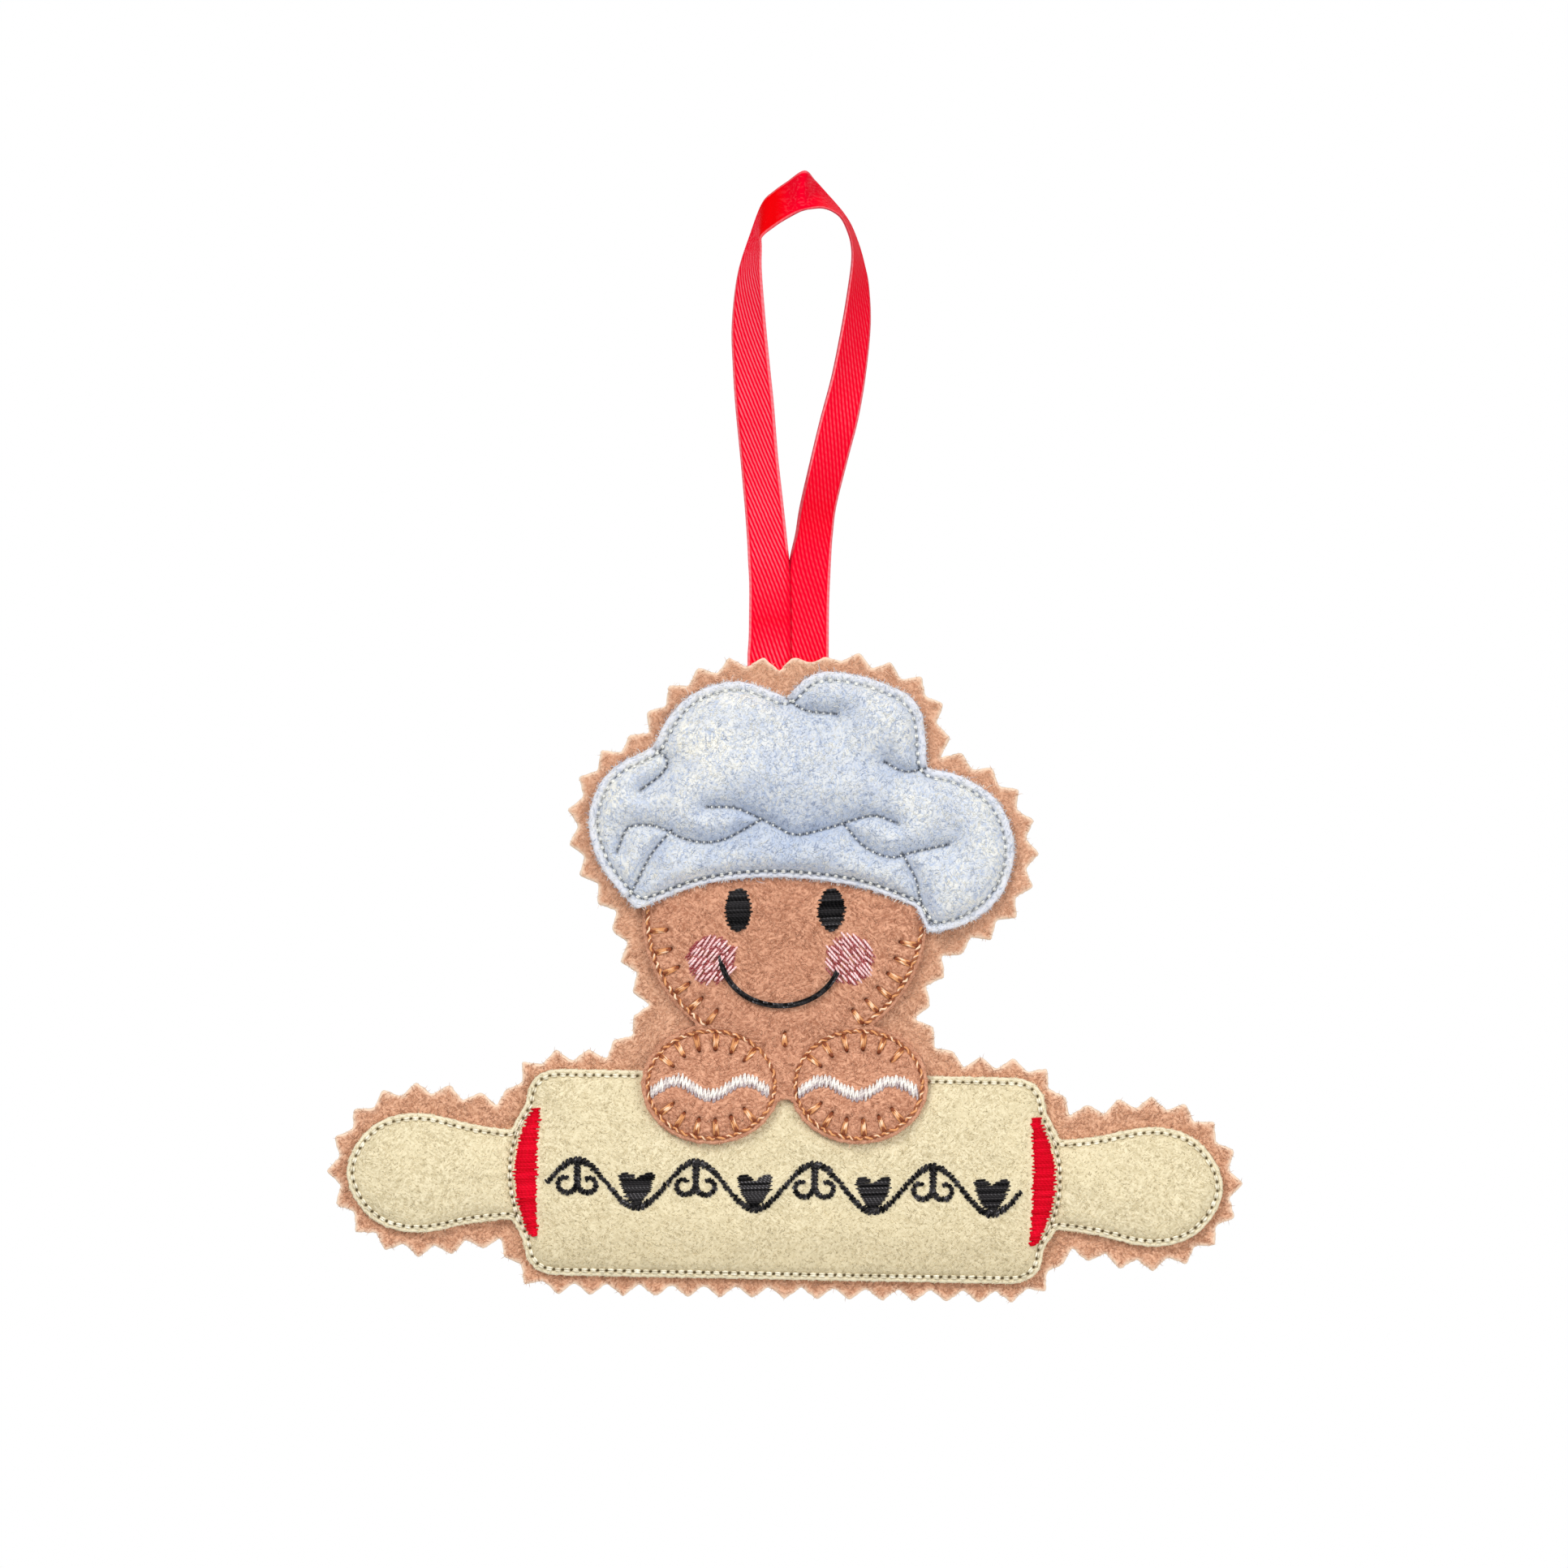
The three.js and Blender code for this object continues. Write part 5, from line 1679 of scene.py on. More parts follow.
    def painted_shading(self, places: Array) -> Array:
        """Finds the painted blue-grey shade: in the folds, in the middle, at the right and along the brim,
        less on the lit crown.

        Args:
            places: Places in the panel, (n, 2).

        Returns:
            0 for the creamy, lit top puffs to 1 for bluish painted shade.
        """
        painted_shade_band = bell(self.to_crease.away(places), self.fold_reach)
        x = places[:, 0]
        share = (places[:, 1] - self.cut.points[:, 1].min()) / np.ptp(self.cut.points[:, 1])
        crown = share_of(share, *self.crown_from) * np.clip(self.crown_side - x / self.side_reach, 0, 1)
        middle = bell(x, self.middle_reach)
        right = share_of(x, 0, self.side_reach)
        brim = share_of(share, *self.brim_from) * middle
        return np.clip(np.dot(self.painted_shade_weights, [np.ones(len(x)), painted_shade_band, middle, right, brim, crown]), 0, 1)

    def build(self) -> None:
        """Makes the felt and its sewing."""
        slits = np.vstack(
            [slits_at(row, edge, self.edge_slit if edge else self.crease_slit) for row, edge in self.rows]
        )
        holes = np.vstack([row for row, _ in self.rows])
        # painted shade in the needle holes, and painted blue-grey shading in folds and on shaded sides
        relief = Relief(
            self.level, self.seam, holes, slits, sink=0.65, reach=0.95, seam_shade=0.06,
            strength=self.strength, painted_shading=self.painted_shading, seed=SEED + 3,
        )
        sewing = Sewing(HAT_THREAD, relief.height, 0.15, SEED + 4)
        for row, edge in self.rows:
            sewing.run(row, edge, 2, *(self.edge_run if edge else self.crease_run))
        sewing.piece("hat_thread", "hat_stitching")
        FeltSheet(
            "hat_felt", PALE_BLUE, BLUE_NAP, relief, self.thickness, spacing=0.55, wear=4,
            sewn=np.vstack(sewing.laid), fibres_per_mm2=9.5, patch=2.2, patch_share=0.8, fringe_per_mm=10.0,
            fringe_length=(0.2, 0.75), fringe_radius=(0.026, 0.046), fringe_tones=(0.0, 0.3, 0.5, 0.2),
            lip=1.0, lip_width=1.0, seed=SEED + 3,
        ).build("hat_felt_sheet", ["front_felt_sheet", "gingerbread_felt_sheet"], "laid")


@dataclass
class RollingPin:
    """The rolling pin: cream felt with a run round barrel and handles, red bands and a black scroll."""

    sew_inset: float = 0.85
    pitch: float = 1.3
    tilt: float = math.radians(-1.1)
    middle_y: float = -77.2
    barrel_half: float = 38.4
    bulge: float = 3.1
    scroll_length: float = 70.0
    scroll_drop: float = 1.5
    scroll_wave: float = 3.4
    scroll_waves: int = 4
    stem_thick: float = 0.95
    stem_thin: float = 0.45
    heart_size: float = 6.2
    heart_points: tuple[Pair, ...] = ((0.0, 0.0), (-0.75, 0.55), (-0.45, 1.1), (0.0, 0.7))
    curl_radius: float = 1.7
    curl_wind: float = 1.7
    curl_close: float = 0.6
    curl_drop: float = 3.4
    band_half: float = 9.5
    band_inset: float = 2.1
    band_bulge: float = 0.2
    band_gap: float = 0.6
    side_half: float = 10.25
    side_share: float = 0.72
    puff: float = 1.8
    puff_reach: float = 10.0
    under_shade: float = 0.3
    under_from: Pair = (4.0, 12.0)
    covers: tuple[Outline, ...] = ()

    def __post_init__(self) -> None:
        """Places the seams and their needle holes."""
        self.cut = Outline.of_node("pin_felt")
        self.thickness = PANEL.thickness("pin_felt")
        self.top = PANEL.front("pin_felt")
        line = self.cut.spaced(OUTLINE_STEP).softened(4).inset(self.sew_inset)
        self.holes = [line.spaced(self.pitch).points]
        self.holes.extend(self.barrel_side(side) for side in Side)
        self.seam = np.vstack([spread_along(self.holes[0], SEAM_STEP, True), *self.holes[1:]])

    def level(self, places: Array) -> Array:
        """The face of the pin, a little fuller in the middle than along its edge."""
        return self.top + self.swell(places)

    def swell(self, places: Array) -> Array:
        """How far the pin's face stands over its edge."""
        return self.puff * domed(share_of(self.cut.depth(places), 0, self.puff_reach))

    def painted_underside_shade(self, places: Array) -> Array:
        """Painted shade: how much darker the felt is made towards the barrel's lower edge, 0 to 1."""
        below = share_of(self.middle_y - places[:, 1], *self.under_from)
        return self.under_shade * below * (np.abs(places[:, 0]) < self.barrel_half)

    def placed(self, points: Array) -> Array:
        """Tilts and moves points from the middle of the pin to their place.

        Args:
            points: Points about the middle of the pin, (n, 2).

        Returns:
            The points in the panel.
        """
        cosine, sine = math.cos(self.tilt), math.sin(self.tilt)
        turned = np.column_stack(
            [points[:, 0] * cosine - points[:, 1] * sine, points[:, 0] * sine + points[:, 1] * cosine]
        )
        return turned + np.array([0, self.middle_y])

    def barrel_side(self, side: Side) -> Array:
        """The run that follows the barrel's bulging end across the root of a handle."""
        y = np.linspace(-self.side_share, self.side_share, 60) * self.side_half
        x = self.barrel_half - self.sew_inset + self.bulge * (1 - (y / self.side_half) ** 2)
        return spread_along(self.placed(np.column_stack([side.value * x, y])), self.pitch, False)

    def band_outline(self, side: Side) -> Outline:
        """Draws the red crescent at one end of the barrel.

        Args:
            side: Which end.

        Returns:
            Its outline.
        """
        y = np.linspace(-1, 1, 40) * self.band_half
        outer = self.barrel_half - self.sew_inset - self.band_gap
        outer = outer + self.bulge * (1 - (y / self.side_half) ** 2)
        inner = self.barrel_half - self.band_inset + self.band_bulge * (1 - (y / self.band_half) ** 2)
        ring = np.vstack([np.column_stack([inner, y]), np.column_stack([outer, y])[::-1]])
        ring[:, 0] *= side.value
        return Outline(self.placed(ring))

    def stem(self, x: Array) -> Array:
        """The waving stem of the scroll."""
        turn = math.tau * self.scroll_waves * x / self.scroll_length
        return self.scroll_wave * np.sin(turn) - self.scroll_drop

    def heart(self, x: float, y: float) -> Outline:
        """Draws a heart that stands on its tip.

        Args:
            x: Its place along the pin, from the middle.
            y: Its place across the pin.

        Returns:
            Its outline.
        """
        shares = np.linspace(0, 1, 24)[:, None]
        foot, flank, lobe, cleft = self.heart_size * np.array(self.heart_points)
        half = (
            (1 - shares) ** 3 * foot + 3 * shares * (1 - shares) ** 2 * flank
            + 3 * shares**2 * (1 - shares) * lobe + shares**3 * cleft
        )
        whole = np.vstack([half, half[::-1] * np.array([-1, 1])])
        return Outline(self.placed(whole + np.array([x, y])))

    def curl(self, x: float, y: float, side: Side) -> Array:
        """Draws a tendril that hangs from the stem and winds in on itself.

        Args:
            x: Its place along the pin, from the middle.
            y: Its place across the pin.
            side: Which way it winds.

        Returns:
            Its line, (n, 2).
        """
        share = np.linspace(0, 1, 40)
        turn = math.pi * (1 + self.curl_wind * share)
        radius = self.curl_radius * (1 - self.curl_close * share)
        across = side.value * (self.curl_radius + radius * np.cos(turn))
        winding = np.column_stack([across, radius * np.sin(turn) - self.curl_drop])
        return self.placed(np.vstack([[0, 0], winding]) + np.array([x, y]))

    def scroll(self, sewing: Sewing) -> None:
        """Embroiders the stem, with a heart in each hollow and two tendrils under each crest.

        Args:
            sewing: The black thread.
        """
        x = np.linspace(-0.5, 0.5, 300) * self.scroll_length
        wave = np.sin(math.tau * self.scroll_waves * x / self.scroll_length) ** 2
        half = (self.stem_thin + (self.stem_thick - self.stem_thin) * wave) / 2 + 0.1
        sewing.column(self.placed(np.column_stack([x, self.stem(x)])), half, 0.3, 0.22, 0.5, jag=0.1)
        for i in range(2 * self.scroll_waves):
            place = self.scroll_length * ((i + 0.5) / (2 * self.scroll_waves) - 0.5)
            height = float(self.stem(np.array([place]))[0])
            if height < -self.scroll_drop:
                sewing.fill(self.heart(place, height), 0.3, 0.3, 0.1)
            else:
                for side in Side:
                    winding = spread_along(self.curl(place, height, side), 0.2, False)
                    taper = np.linspace(self.stem_thick, self.stem_thin, len(winding)) / 2 + 0.08
                    sewing.column(winding, taper, 0.28, 0.2, 0.4)

    def build(self) -> None:
        """Makes the felt, its runs, the bands and the scroll."""
        shown = [self.uncovered(holes) for holes in self.holes]
        slits = np.vstack([slits_at(holes, False, 0.1) for holes in shown])
        # painted shade in the needle holes, and painted shade towards the barrel's lower edge
        relief = Relief(
            self.level, self.seam, np.vstack(shown), slits, sink=0.42, seam_shade=0.1, painted_shading=self.painted_underside_shade,
            seed=SEED + 6,
        )
        runs = Sewing(PIN_THREAD, relief.height, 0.16, SEED + 7)
        for holes in self.holes:
            for stretch in self.stretches(holes):
                runs.run(stretch, False, 2, 0.15, 0.24)
        runs.piece("pin_thread", "pin_stitching")
        laid = list(runs.laid)
        for side in Side:
            band = Sewing(RED_THREAD, relief.height, 0.18, SEED + 8 + side.value)
            band.fill(self.band_outline(side), 0.27, 0.34, 0.14, 0.12, tone=(0.15, 0.8))
            band.piece(f"band_{side.label}_thread", f"band_{side.label}")
            laid += band.laid
        black = Sewing(BLACK_THREAD, relief.height, 0.16, SEED + 10)
        self.scroll(black)
        black.piece("scroll_thread", "scroll_embroidery")
        FeltSheet(
            "pin_felt", CREAM, CREAM_NAP, relief, self.thickness, wear=4, hidden=self.covers,
            sewn=np.vstack([*laid, *black.laid]), fibre_length=(0.25, 0.7), fringe_per_mm=6.0,
            fringe_length=(0.12, 0.45), fringe_radius=(0.024, 0.04), seed=SEED + 6,
        ).build("pin_felt_sheet", ["front_felt_sheet"], "laid")

    def uncovered(self, holes: Array) -> Array:
        """The holes that no other felt covers."""
        for cover in self.covers:
            holes = holes[cover.depth(holes) < 0.2]
        return holes

    def stretches(self, holes: Array) -> list[Array]:
        """Splits a row of holes into the stretches that show."""
        kept = self.uncovered(holes)
        gaps = np.flatnonzero(np.linalg.norm(np.diff(kept, axis=0), axis=1) > 1.6 * self.pitch)
        return [part for part in np.split(kept, gaps + 1) if len(part) > 1]


@dataclass
class Gingerbread:
    """The figure: head and paws in one brown felt, blanket stitch, face and icing."""

    ramp_length: float = 3.0
    sew_inset: float = 0.85
    spike_foot: float = 0.2
    spike_length: float = 2.8
    spike_pitch: float = 3.15
    paw_inset: float = 0.35
    head_run_turns: Pair = (math.radians(28), math.radians(-80))
    off_hat: float = 0.5
    off_paw: float = 0.9
    off_chin: float = 9.0
    off_icing: float = 1.9
    cheek_slant: float = math.radians(50)
    cheek_row: float = 0.58
    face_x: float = -0.6
    mouth_y: float = -44.4
    mouth_half: Pair = (8.9, 7.6)
    mouth_turns: Pair = (math.pi, 1.9 * math.pi)
    mouth_pitch: float = 0.75
    icing_half: float = 0.88
    icing_wave: float = 1.1
    icing_period: float = 10.3
    puff: float = 0.35
    puff_reach: float = 5.0
    hat: Outline | None = None
    pin_swell: Height | None = None

    def __post_init__(self) -> None:
        """Reads the levels and the ramp from the frame, and places the blanket stitches."""
        self.cut = Outline.of_node("gingerbread_felt")
        box = PANEL.box("gingerbread_felt")
        self.thickness = PANEL.thickness("front_felt")
        self.high = float(box[1, 2])
        self.low = float(box[0, 2]) + self.thickness
        pin = Outline.of_node("pin_felt").spaced(0.5).points
        self.ramp_foot = float(pin[np.abs(pin[:, 0]) < 25][:, 1].max()) + 0.3
        self.paws = {side: self.paw_line(side) for side in Side}
        self.runs = {side: self.head_run(side) for side in Side}
        self.head_rows = {side: self.head_spikes(side) for side in Side}
        self.paw_rows = {side: self.paw_spikes(side) for side in Side}

    def level(self, places: Array) -> Array:
        """The face of the felt, which climbs over the edge of the pin at the paws."""
        climb = eased(share_of(self.ramp_foot + self.ramp_length - places[:, 1], 0, self.ramp_length))
        own = self.puff * domed(share_of(self.cut.depth(places), 0, self.puff_reach))
        return self.low + (self.high - self.low + self.pin_swell(places)) * climb + own

    def paw_line(self, side: Side) -> Outline:
        """The run round a paw."""
        middle, half = PANEL.middle(f"paw_stitching_{side.label}")
        return Outline.ellipse(middle, half - self.paw_inset, 200)

    def head_run(self, side: Side) -> Array:
        """Draws the run down one side of the head, between the brim and the paw.

        Args:
            side: Which side.

        Returns:
            Its line, (n, 2).
        """
        turn = np.linspace(*self.head_run_turns, 200)
        if side is Side.LEFT:
            turn = math.pi - turn
        line = arc(HEAD_CENTRE, np.array(HEAD_HALF) - self.sew_inset, turn)
        line = line[(self.hat.depth(line) < -self.off_hat) & (self.paws[side].depth(line) < -self.off_paw)]
        return line[np.abs(line[:, 0]) > self.off_chin]

    def build(self) -> None:
        """Makes the felt and everything that is sewn on it."""
        spikes = [*self.head_rows.values(), *self.paw_rows.values(), self.chin_spike()]
        sides = (spread_along(run, SEAM_STEP, False) for run in self.runs.values())
        seam = np.vstack([*sides, *(paw.spaced(SEAM_STEP).points for paw in self.paws.values())])
        shares = np.linspace(0, 1, 14)[:, None, None]
        grooves = np.vstack([(roots + (tips - roots) * shares).reshape(-1, 2) for roots, tips in spikes])
        holes = np.vstack([tips for _, tips in spikes])
        relief = Relief(
            self.level, seam, holes, grooves=grooves, sink=0.42, reach=0.7, pit=0.55, pit_reach=0.26,
            seed=SEED + 12,
        )
        laid = []
        for side in Side:
            laid += self.sew_side(side, relief.height)
        laid += self.sew_face(relief.height)
        FeltSheet(
            "gingerbread_felt", BROWN, BROWN_NAP, relief, self.thickness, spacing=0.55,
            hidden=(self.hat,), back=lambda places: self.level(places) - self.thickness,
            sewn=np.vstack(laid), fibres_per_mm2=8.0, patch=0.9, fringe_per_mm=6.0,
            fringe_length=(0.1, 0.4), fringe_radius=(0.024, 0.04), lip=0.35, seed=SEED + 12,
        ).build("gingerbread_felt_sheet", ["front_felt_sheet", "pin_felt_sheet"], "laid")

    def head_spikes(self, side: Side) -> tuple[Array, Array]:
        """Where the blanket stitches of one side of the head start and end."""
        roots = spread_along(self.runs[side], self.spike_pitch, False)[1:]
        inwards = unit(np.array(HEAD_CENTRE) - roots)
        return roots + self.spike_foot * inwards, roots + self.spike_length * inwards

    def paw_spikes(self, side: Side) -> tuple[Array, Array]:
        """Places the blanket stitches of a paw, clear of its icing.

        Args:
            side: Which paw.

        Returns:
            Where they start and where they end, (n, 2) each.
        """
        line = self.paws[side].spaced(self.spike_pitch)
        middle = line.points.mean(axis=0)
        inner = leftwards(headings(line.points, True))
        clear = np.abs(line.points[:, 1] + self.spike_length * inner[:, 1] - middle[1]) > self.off_icing
        roots, inner = line.points[clear], inner[clear]
        return roots + self.spike_foot * inner, roots + self.spike_length * inner

    def chin_spike(self) -> tuple[Array, Array]:
        """The single stitch under the chin."""
        low, high = PANEL.box("chin_stitch")[:, :2]
        middle = (low[0] + high[0]) / 2
        return np.array([[middle, low[1] + 0.3]]), np.array([[middle, high[1] - 0.4]])

    def sew_side(self, side: Side, height: Height) -> list:
        """Blanket stitch at one side of the head and round one paw, and the paw's icing.

        Args:
            side: The side of the figure.
            height: The height of the felt.

        Returns:
            The places that the threads cover.
        """
        head = Sewing(RUST_THREAD, height, 0.15, SEED + 13 + side.value)
        # the light ply carries painted highlights, the dark one painted shade between them
        head.rope(self.runs[side], 0.19, 1.35, (1.5, 0.05))
        head.spikes(*self.head_rows[side])
        head.piece(f"head_{side.label}_thread", f"head_stitching_{side.label}")
        paw = Sewing(RUST_THREAD, height, 0.15, SEED + 16 + side.value)
        ring = self.paws[side].points
        # the light ply carries painted highlights, the dark one painted shade between them
        paw.rope(np.vstack([ring, ring[:1]]), 0.18, 1.35, (1.0, 0.05))
        paw.spikes(*self.paw_rows[side])
        paw.piece(f"paw_{side.label}_thread", f"paw_stitching_{side.label}")
        icing = Sewing(WHITE_THREAD, height, 0.15, SEED + 19 + side.value)
        centre, reach = PANEL.middle(f"icing_{side.label}")
        x = np.linspace(-1, 1, 160) * reach[0]
        wave = -self.icing_wave * np.cos(math.tau * x / self.icing_period)
        line = np.column_stack([centre[0] + x, centre[1] + wave])
        half = np.full(len(x), self.icing_half)
        # the lower, darker column under the icing is painted shade along its lower edge and between its
        # strokes
        icing.column(line - np.array([0, 0.3]), half, 0.36, 0.16, 0.1, True, 0.12, (0.0, 0.3))
        icing.column(line, half, 0.32, 0.38, 0.1, True, 0.14, (0.5, 1.1))
        icing.piece(f"icing_{side.label}_thread", f"icing_{side.label}")
        return head.laid + paw.laid + icing.laid

    def sew_face(self, height: Height) -> list:
        """Eyes, cheeks, smile and the stitch under the chin.

        Args:
            height: The height of the felt.

        Returns:
            The places that the threads cover.
        """
        laid = []
        for side in Side:
            eye = Sewing(BLACK_THREAD, height, 0.18, SEED + 22 + side.value)
            eye.fill(Outline.ellipse(*PANEL.middle(f"eye_{side.label}")), 0.3, 0.36, 0.11, 0.15, (0.0, 0.9))
            eye.piece(f"eye_{side.label}_thread", f"eye_{side.label}")
            laid += eye.laid + self.sew_cheek(side, height)
        smile = Sewing(BLACK_THREAD, height, 0.2, SEED + 28)
        line = arc((self.face_x, self.mouth_y), self.mouth_half, np.linspace(*self.mouth_turns, 200))
        holes = spread_along(line, self.mouth_pitch, False)
        side = leftwards(headings(holes, False))
        for k, off in enumerate((-0.2, 0.0, 0.2)):
            starts, ends = holes[k:-2] + off * side[k:-2], holes[k + 2:] + off * side[k + 2:]
            smile.stitch(starts[: len(ends)], ends, rise=0.55)
        smile.piece("mouth_thread", "mouth")
        chin = Sewing(RUST_THREAD, height, 0.15, SEED + 30)
        chin.spikes(*self.chin_spike())
        chin.piece("chin_thread", "chin_stitch")
        return laid + smile.laid + chin.laid

    def sew_cheek(self, side: Side, height: Height) -> list:
        """Loose slanting strokes over a darker underlay, which fill a round cheek; the underlay is the return
        strokes, darkened as painted shade.

        Args:
            side: The side of the figure; the strokes of the two cheeks lean apart.
            height: The height of the felt.

        Returns:
            The places that the threads cover.
        """
        cheek = Sewing(PINK_THREAD, height, 0.165, SEED + 25 + side.value)
        centre, half = PANEL.middle(f"cheek_{side.label}")
        radius = float(half.min())
        slant = self.cheek_slant if side is Side.LEFT else math.pi - self.cheek_slant
        cosine, sine = math.cos(slant), math.sin(slant)
        turn = np.array([[cosine, sine], [-sine, cosine]])
        # the first layer is the dark underlay: return strokes, darkened as painted shade
        layers = ((0.34, 0.06, (0.0, 0.15), 3.4, 0.3), (self.cheek_row, 0.32, (0.8, 1.1), 2.0, 0.42))
        for pitch, rise, tone, length, jag in layers:
            for off in np.arange(-radius * 0.96, radius * 0.96, pitch):
                reach = math.sqrt(max(radius**2 - off**2, 0.1))
                count = max(1, round(2 * reach / length))
                ends = np.linspace(-reach, reach, count + 1) + cheek.random.normal(0, jag, count + 1)
                sway = off + cheek.random.normal(0, 0.12, (2, count))
                starts = np.column_stack([ends[:-1] - 0.1, sway[0]]) @ turn
                tips = np.column_stack([ends[1:] + 0.1, sway[1]]) @ turn
                cheek.stitch(centre + starts, centre + tips, rise=rise, tone=tone)
        cheek.piece(f"cheek_{side.label}_thread", f"cheek_{side.label}")
        return cheek.laid


@dataclass
class BaseFelts:
    """The pinked base: front felt, stabiliser, and back felt with the sunken seam."""

    sew_inset: float = 0.85
    pitch: float = 1.5
    painted_light: float = 1.0
    pinked: dict = field(
        default_factory=lambda: dict(wear=1, fringe_per_mm=2.0, lip=1.0, lip_width=0.4, bare_rim=0.3)
    )
    painted_light_reach: float = 4.0
    figure_reach: float = 2.5
    covers: tuple[Outline, ...] = ()

    def build(self) -> None:
        """Makes the three sheets and the seam at the back."""
        near, far = PANEL.front("front_felt"), -float(PANEL.box("back_felt")[0, 2])
        thickness = PANEL.thickness("front_felt")
        # painted light on the front's nap beside the hat and the figure
        face = Relief(
            lambda places: np.full(len(places), near), swell=0.12, painted_shading=self.painted_light_beside_covers, seed=SEED + 40
        )
        FeltSheet(
            "front_felt", TAN, TAN_NAP, face, thickness, hidden=self.covers, fibres_per_mm2=9.0,
            seed=SEED + 40, **self.pinked,
        ).build("front_felt_sheet", ["satin_ribbon"], "hung")
        holes = self.stabiliser().softened(2).spaced(self.pitch).points
        line = spread_along(holes, SEAM_STEP, True)
        rear = Relief(
            lambda places: np.full(len(places), far), line, holes, slits_at(holes, True), sink=0.55,
            reach=0.65, seed=SEED + 44,
        )
        seam = Sewing(CREAM_THREAD, rear.height, 0.16, SEED + 45)
        seam.run(holes, True)
        seam.piece("back_seam_thread", "back_seam", facing=Facing.BACK)
        FeltSheet(
            "back_felt", TAN, TAN_NAP, rear, thickness, facing=Facing.BACK, spacing=0.7,
            sewn=np.vstack(seam.laid), fibres_per_mm2=2.0, seed=SEED + 44, **self.pinked,
        ).build("back_felt_sheet", ["satin_ribbon"], "hung")

    def painted_light_beside_covers(self, places: Array) -> Array:
        """Painted light: how much paler the front's nap is made beside the hat and the figure, where their
        shade falls, as a share below zero.
        """
        hat, _, figure = (Nearness(cover.spaced(0.5).points).away(places) for cover in self.covers)
        return -self.painted_light * np.maximum(bell(hat, self.painted_light_reach), 0.5 * bell(figure, self.figure_reach))

    def stabiliser(self) -> Outline:
        """Makes the thin level sheet inside the base.

        Returns:
            Its edge.
        """
        node = "stabiliser"
        edge = Outline.of_node(node).spaced(0.8)
        count = len(edge.points)
        top = capped(edge.points)
        ids = np.arange(count)
        walls = np.column_stack([ids, ids + count, np.roll(ids, -1) + count, np.roll(ids, -1)])
        levels = [np.column_stack([edge.points, np.full(count, h)]) for h in PANEL.box(node)[::-1, 2]]
        made = Shape()
        made.add(np.vstack(levels), [top, top[:, ::-1] + count, walls])
        piece = made.piece("stabiliser_sheet", [STABILISER.material()])
        dress(piece, STABILISER.slot, node)
        Outline.of_node(node).area * MM * MM
        return edge


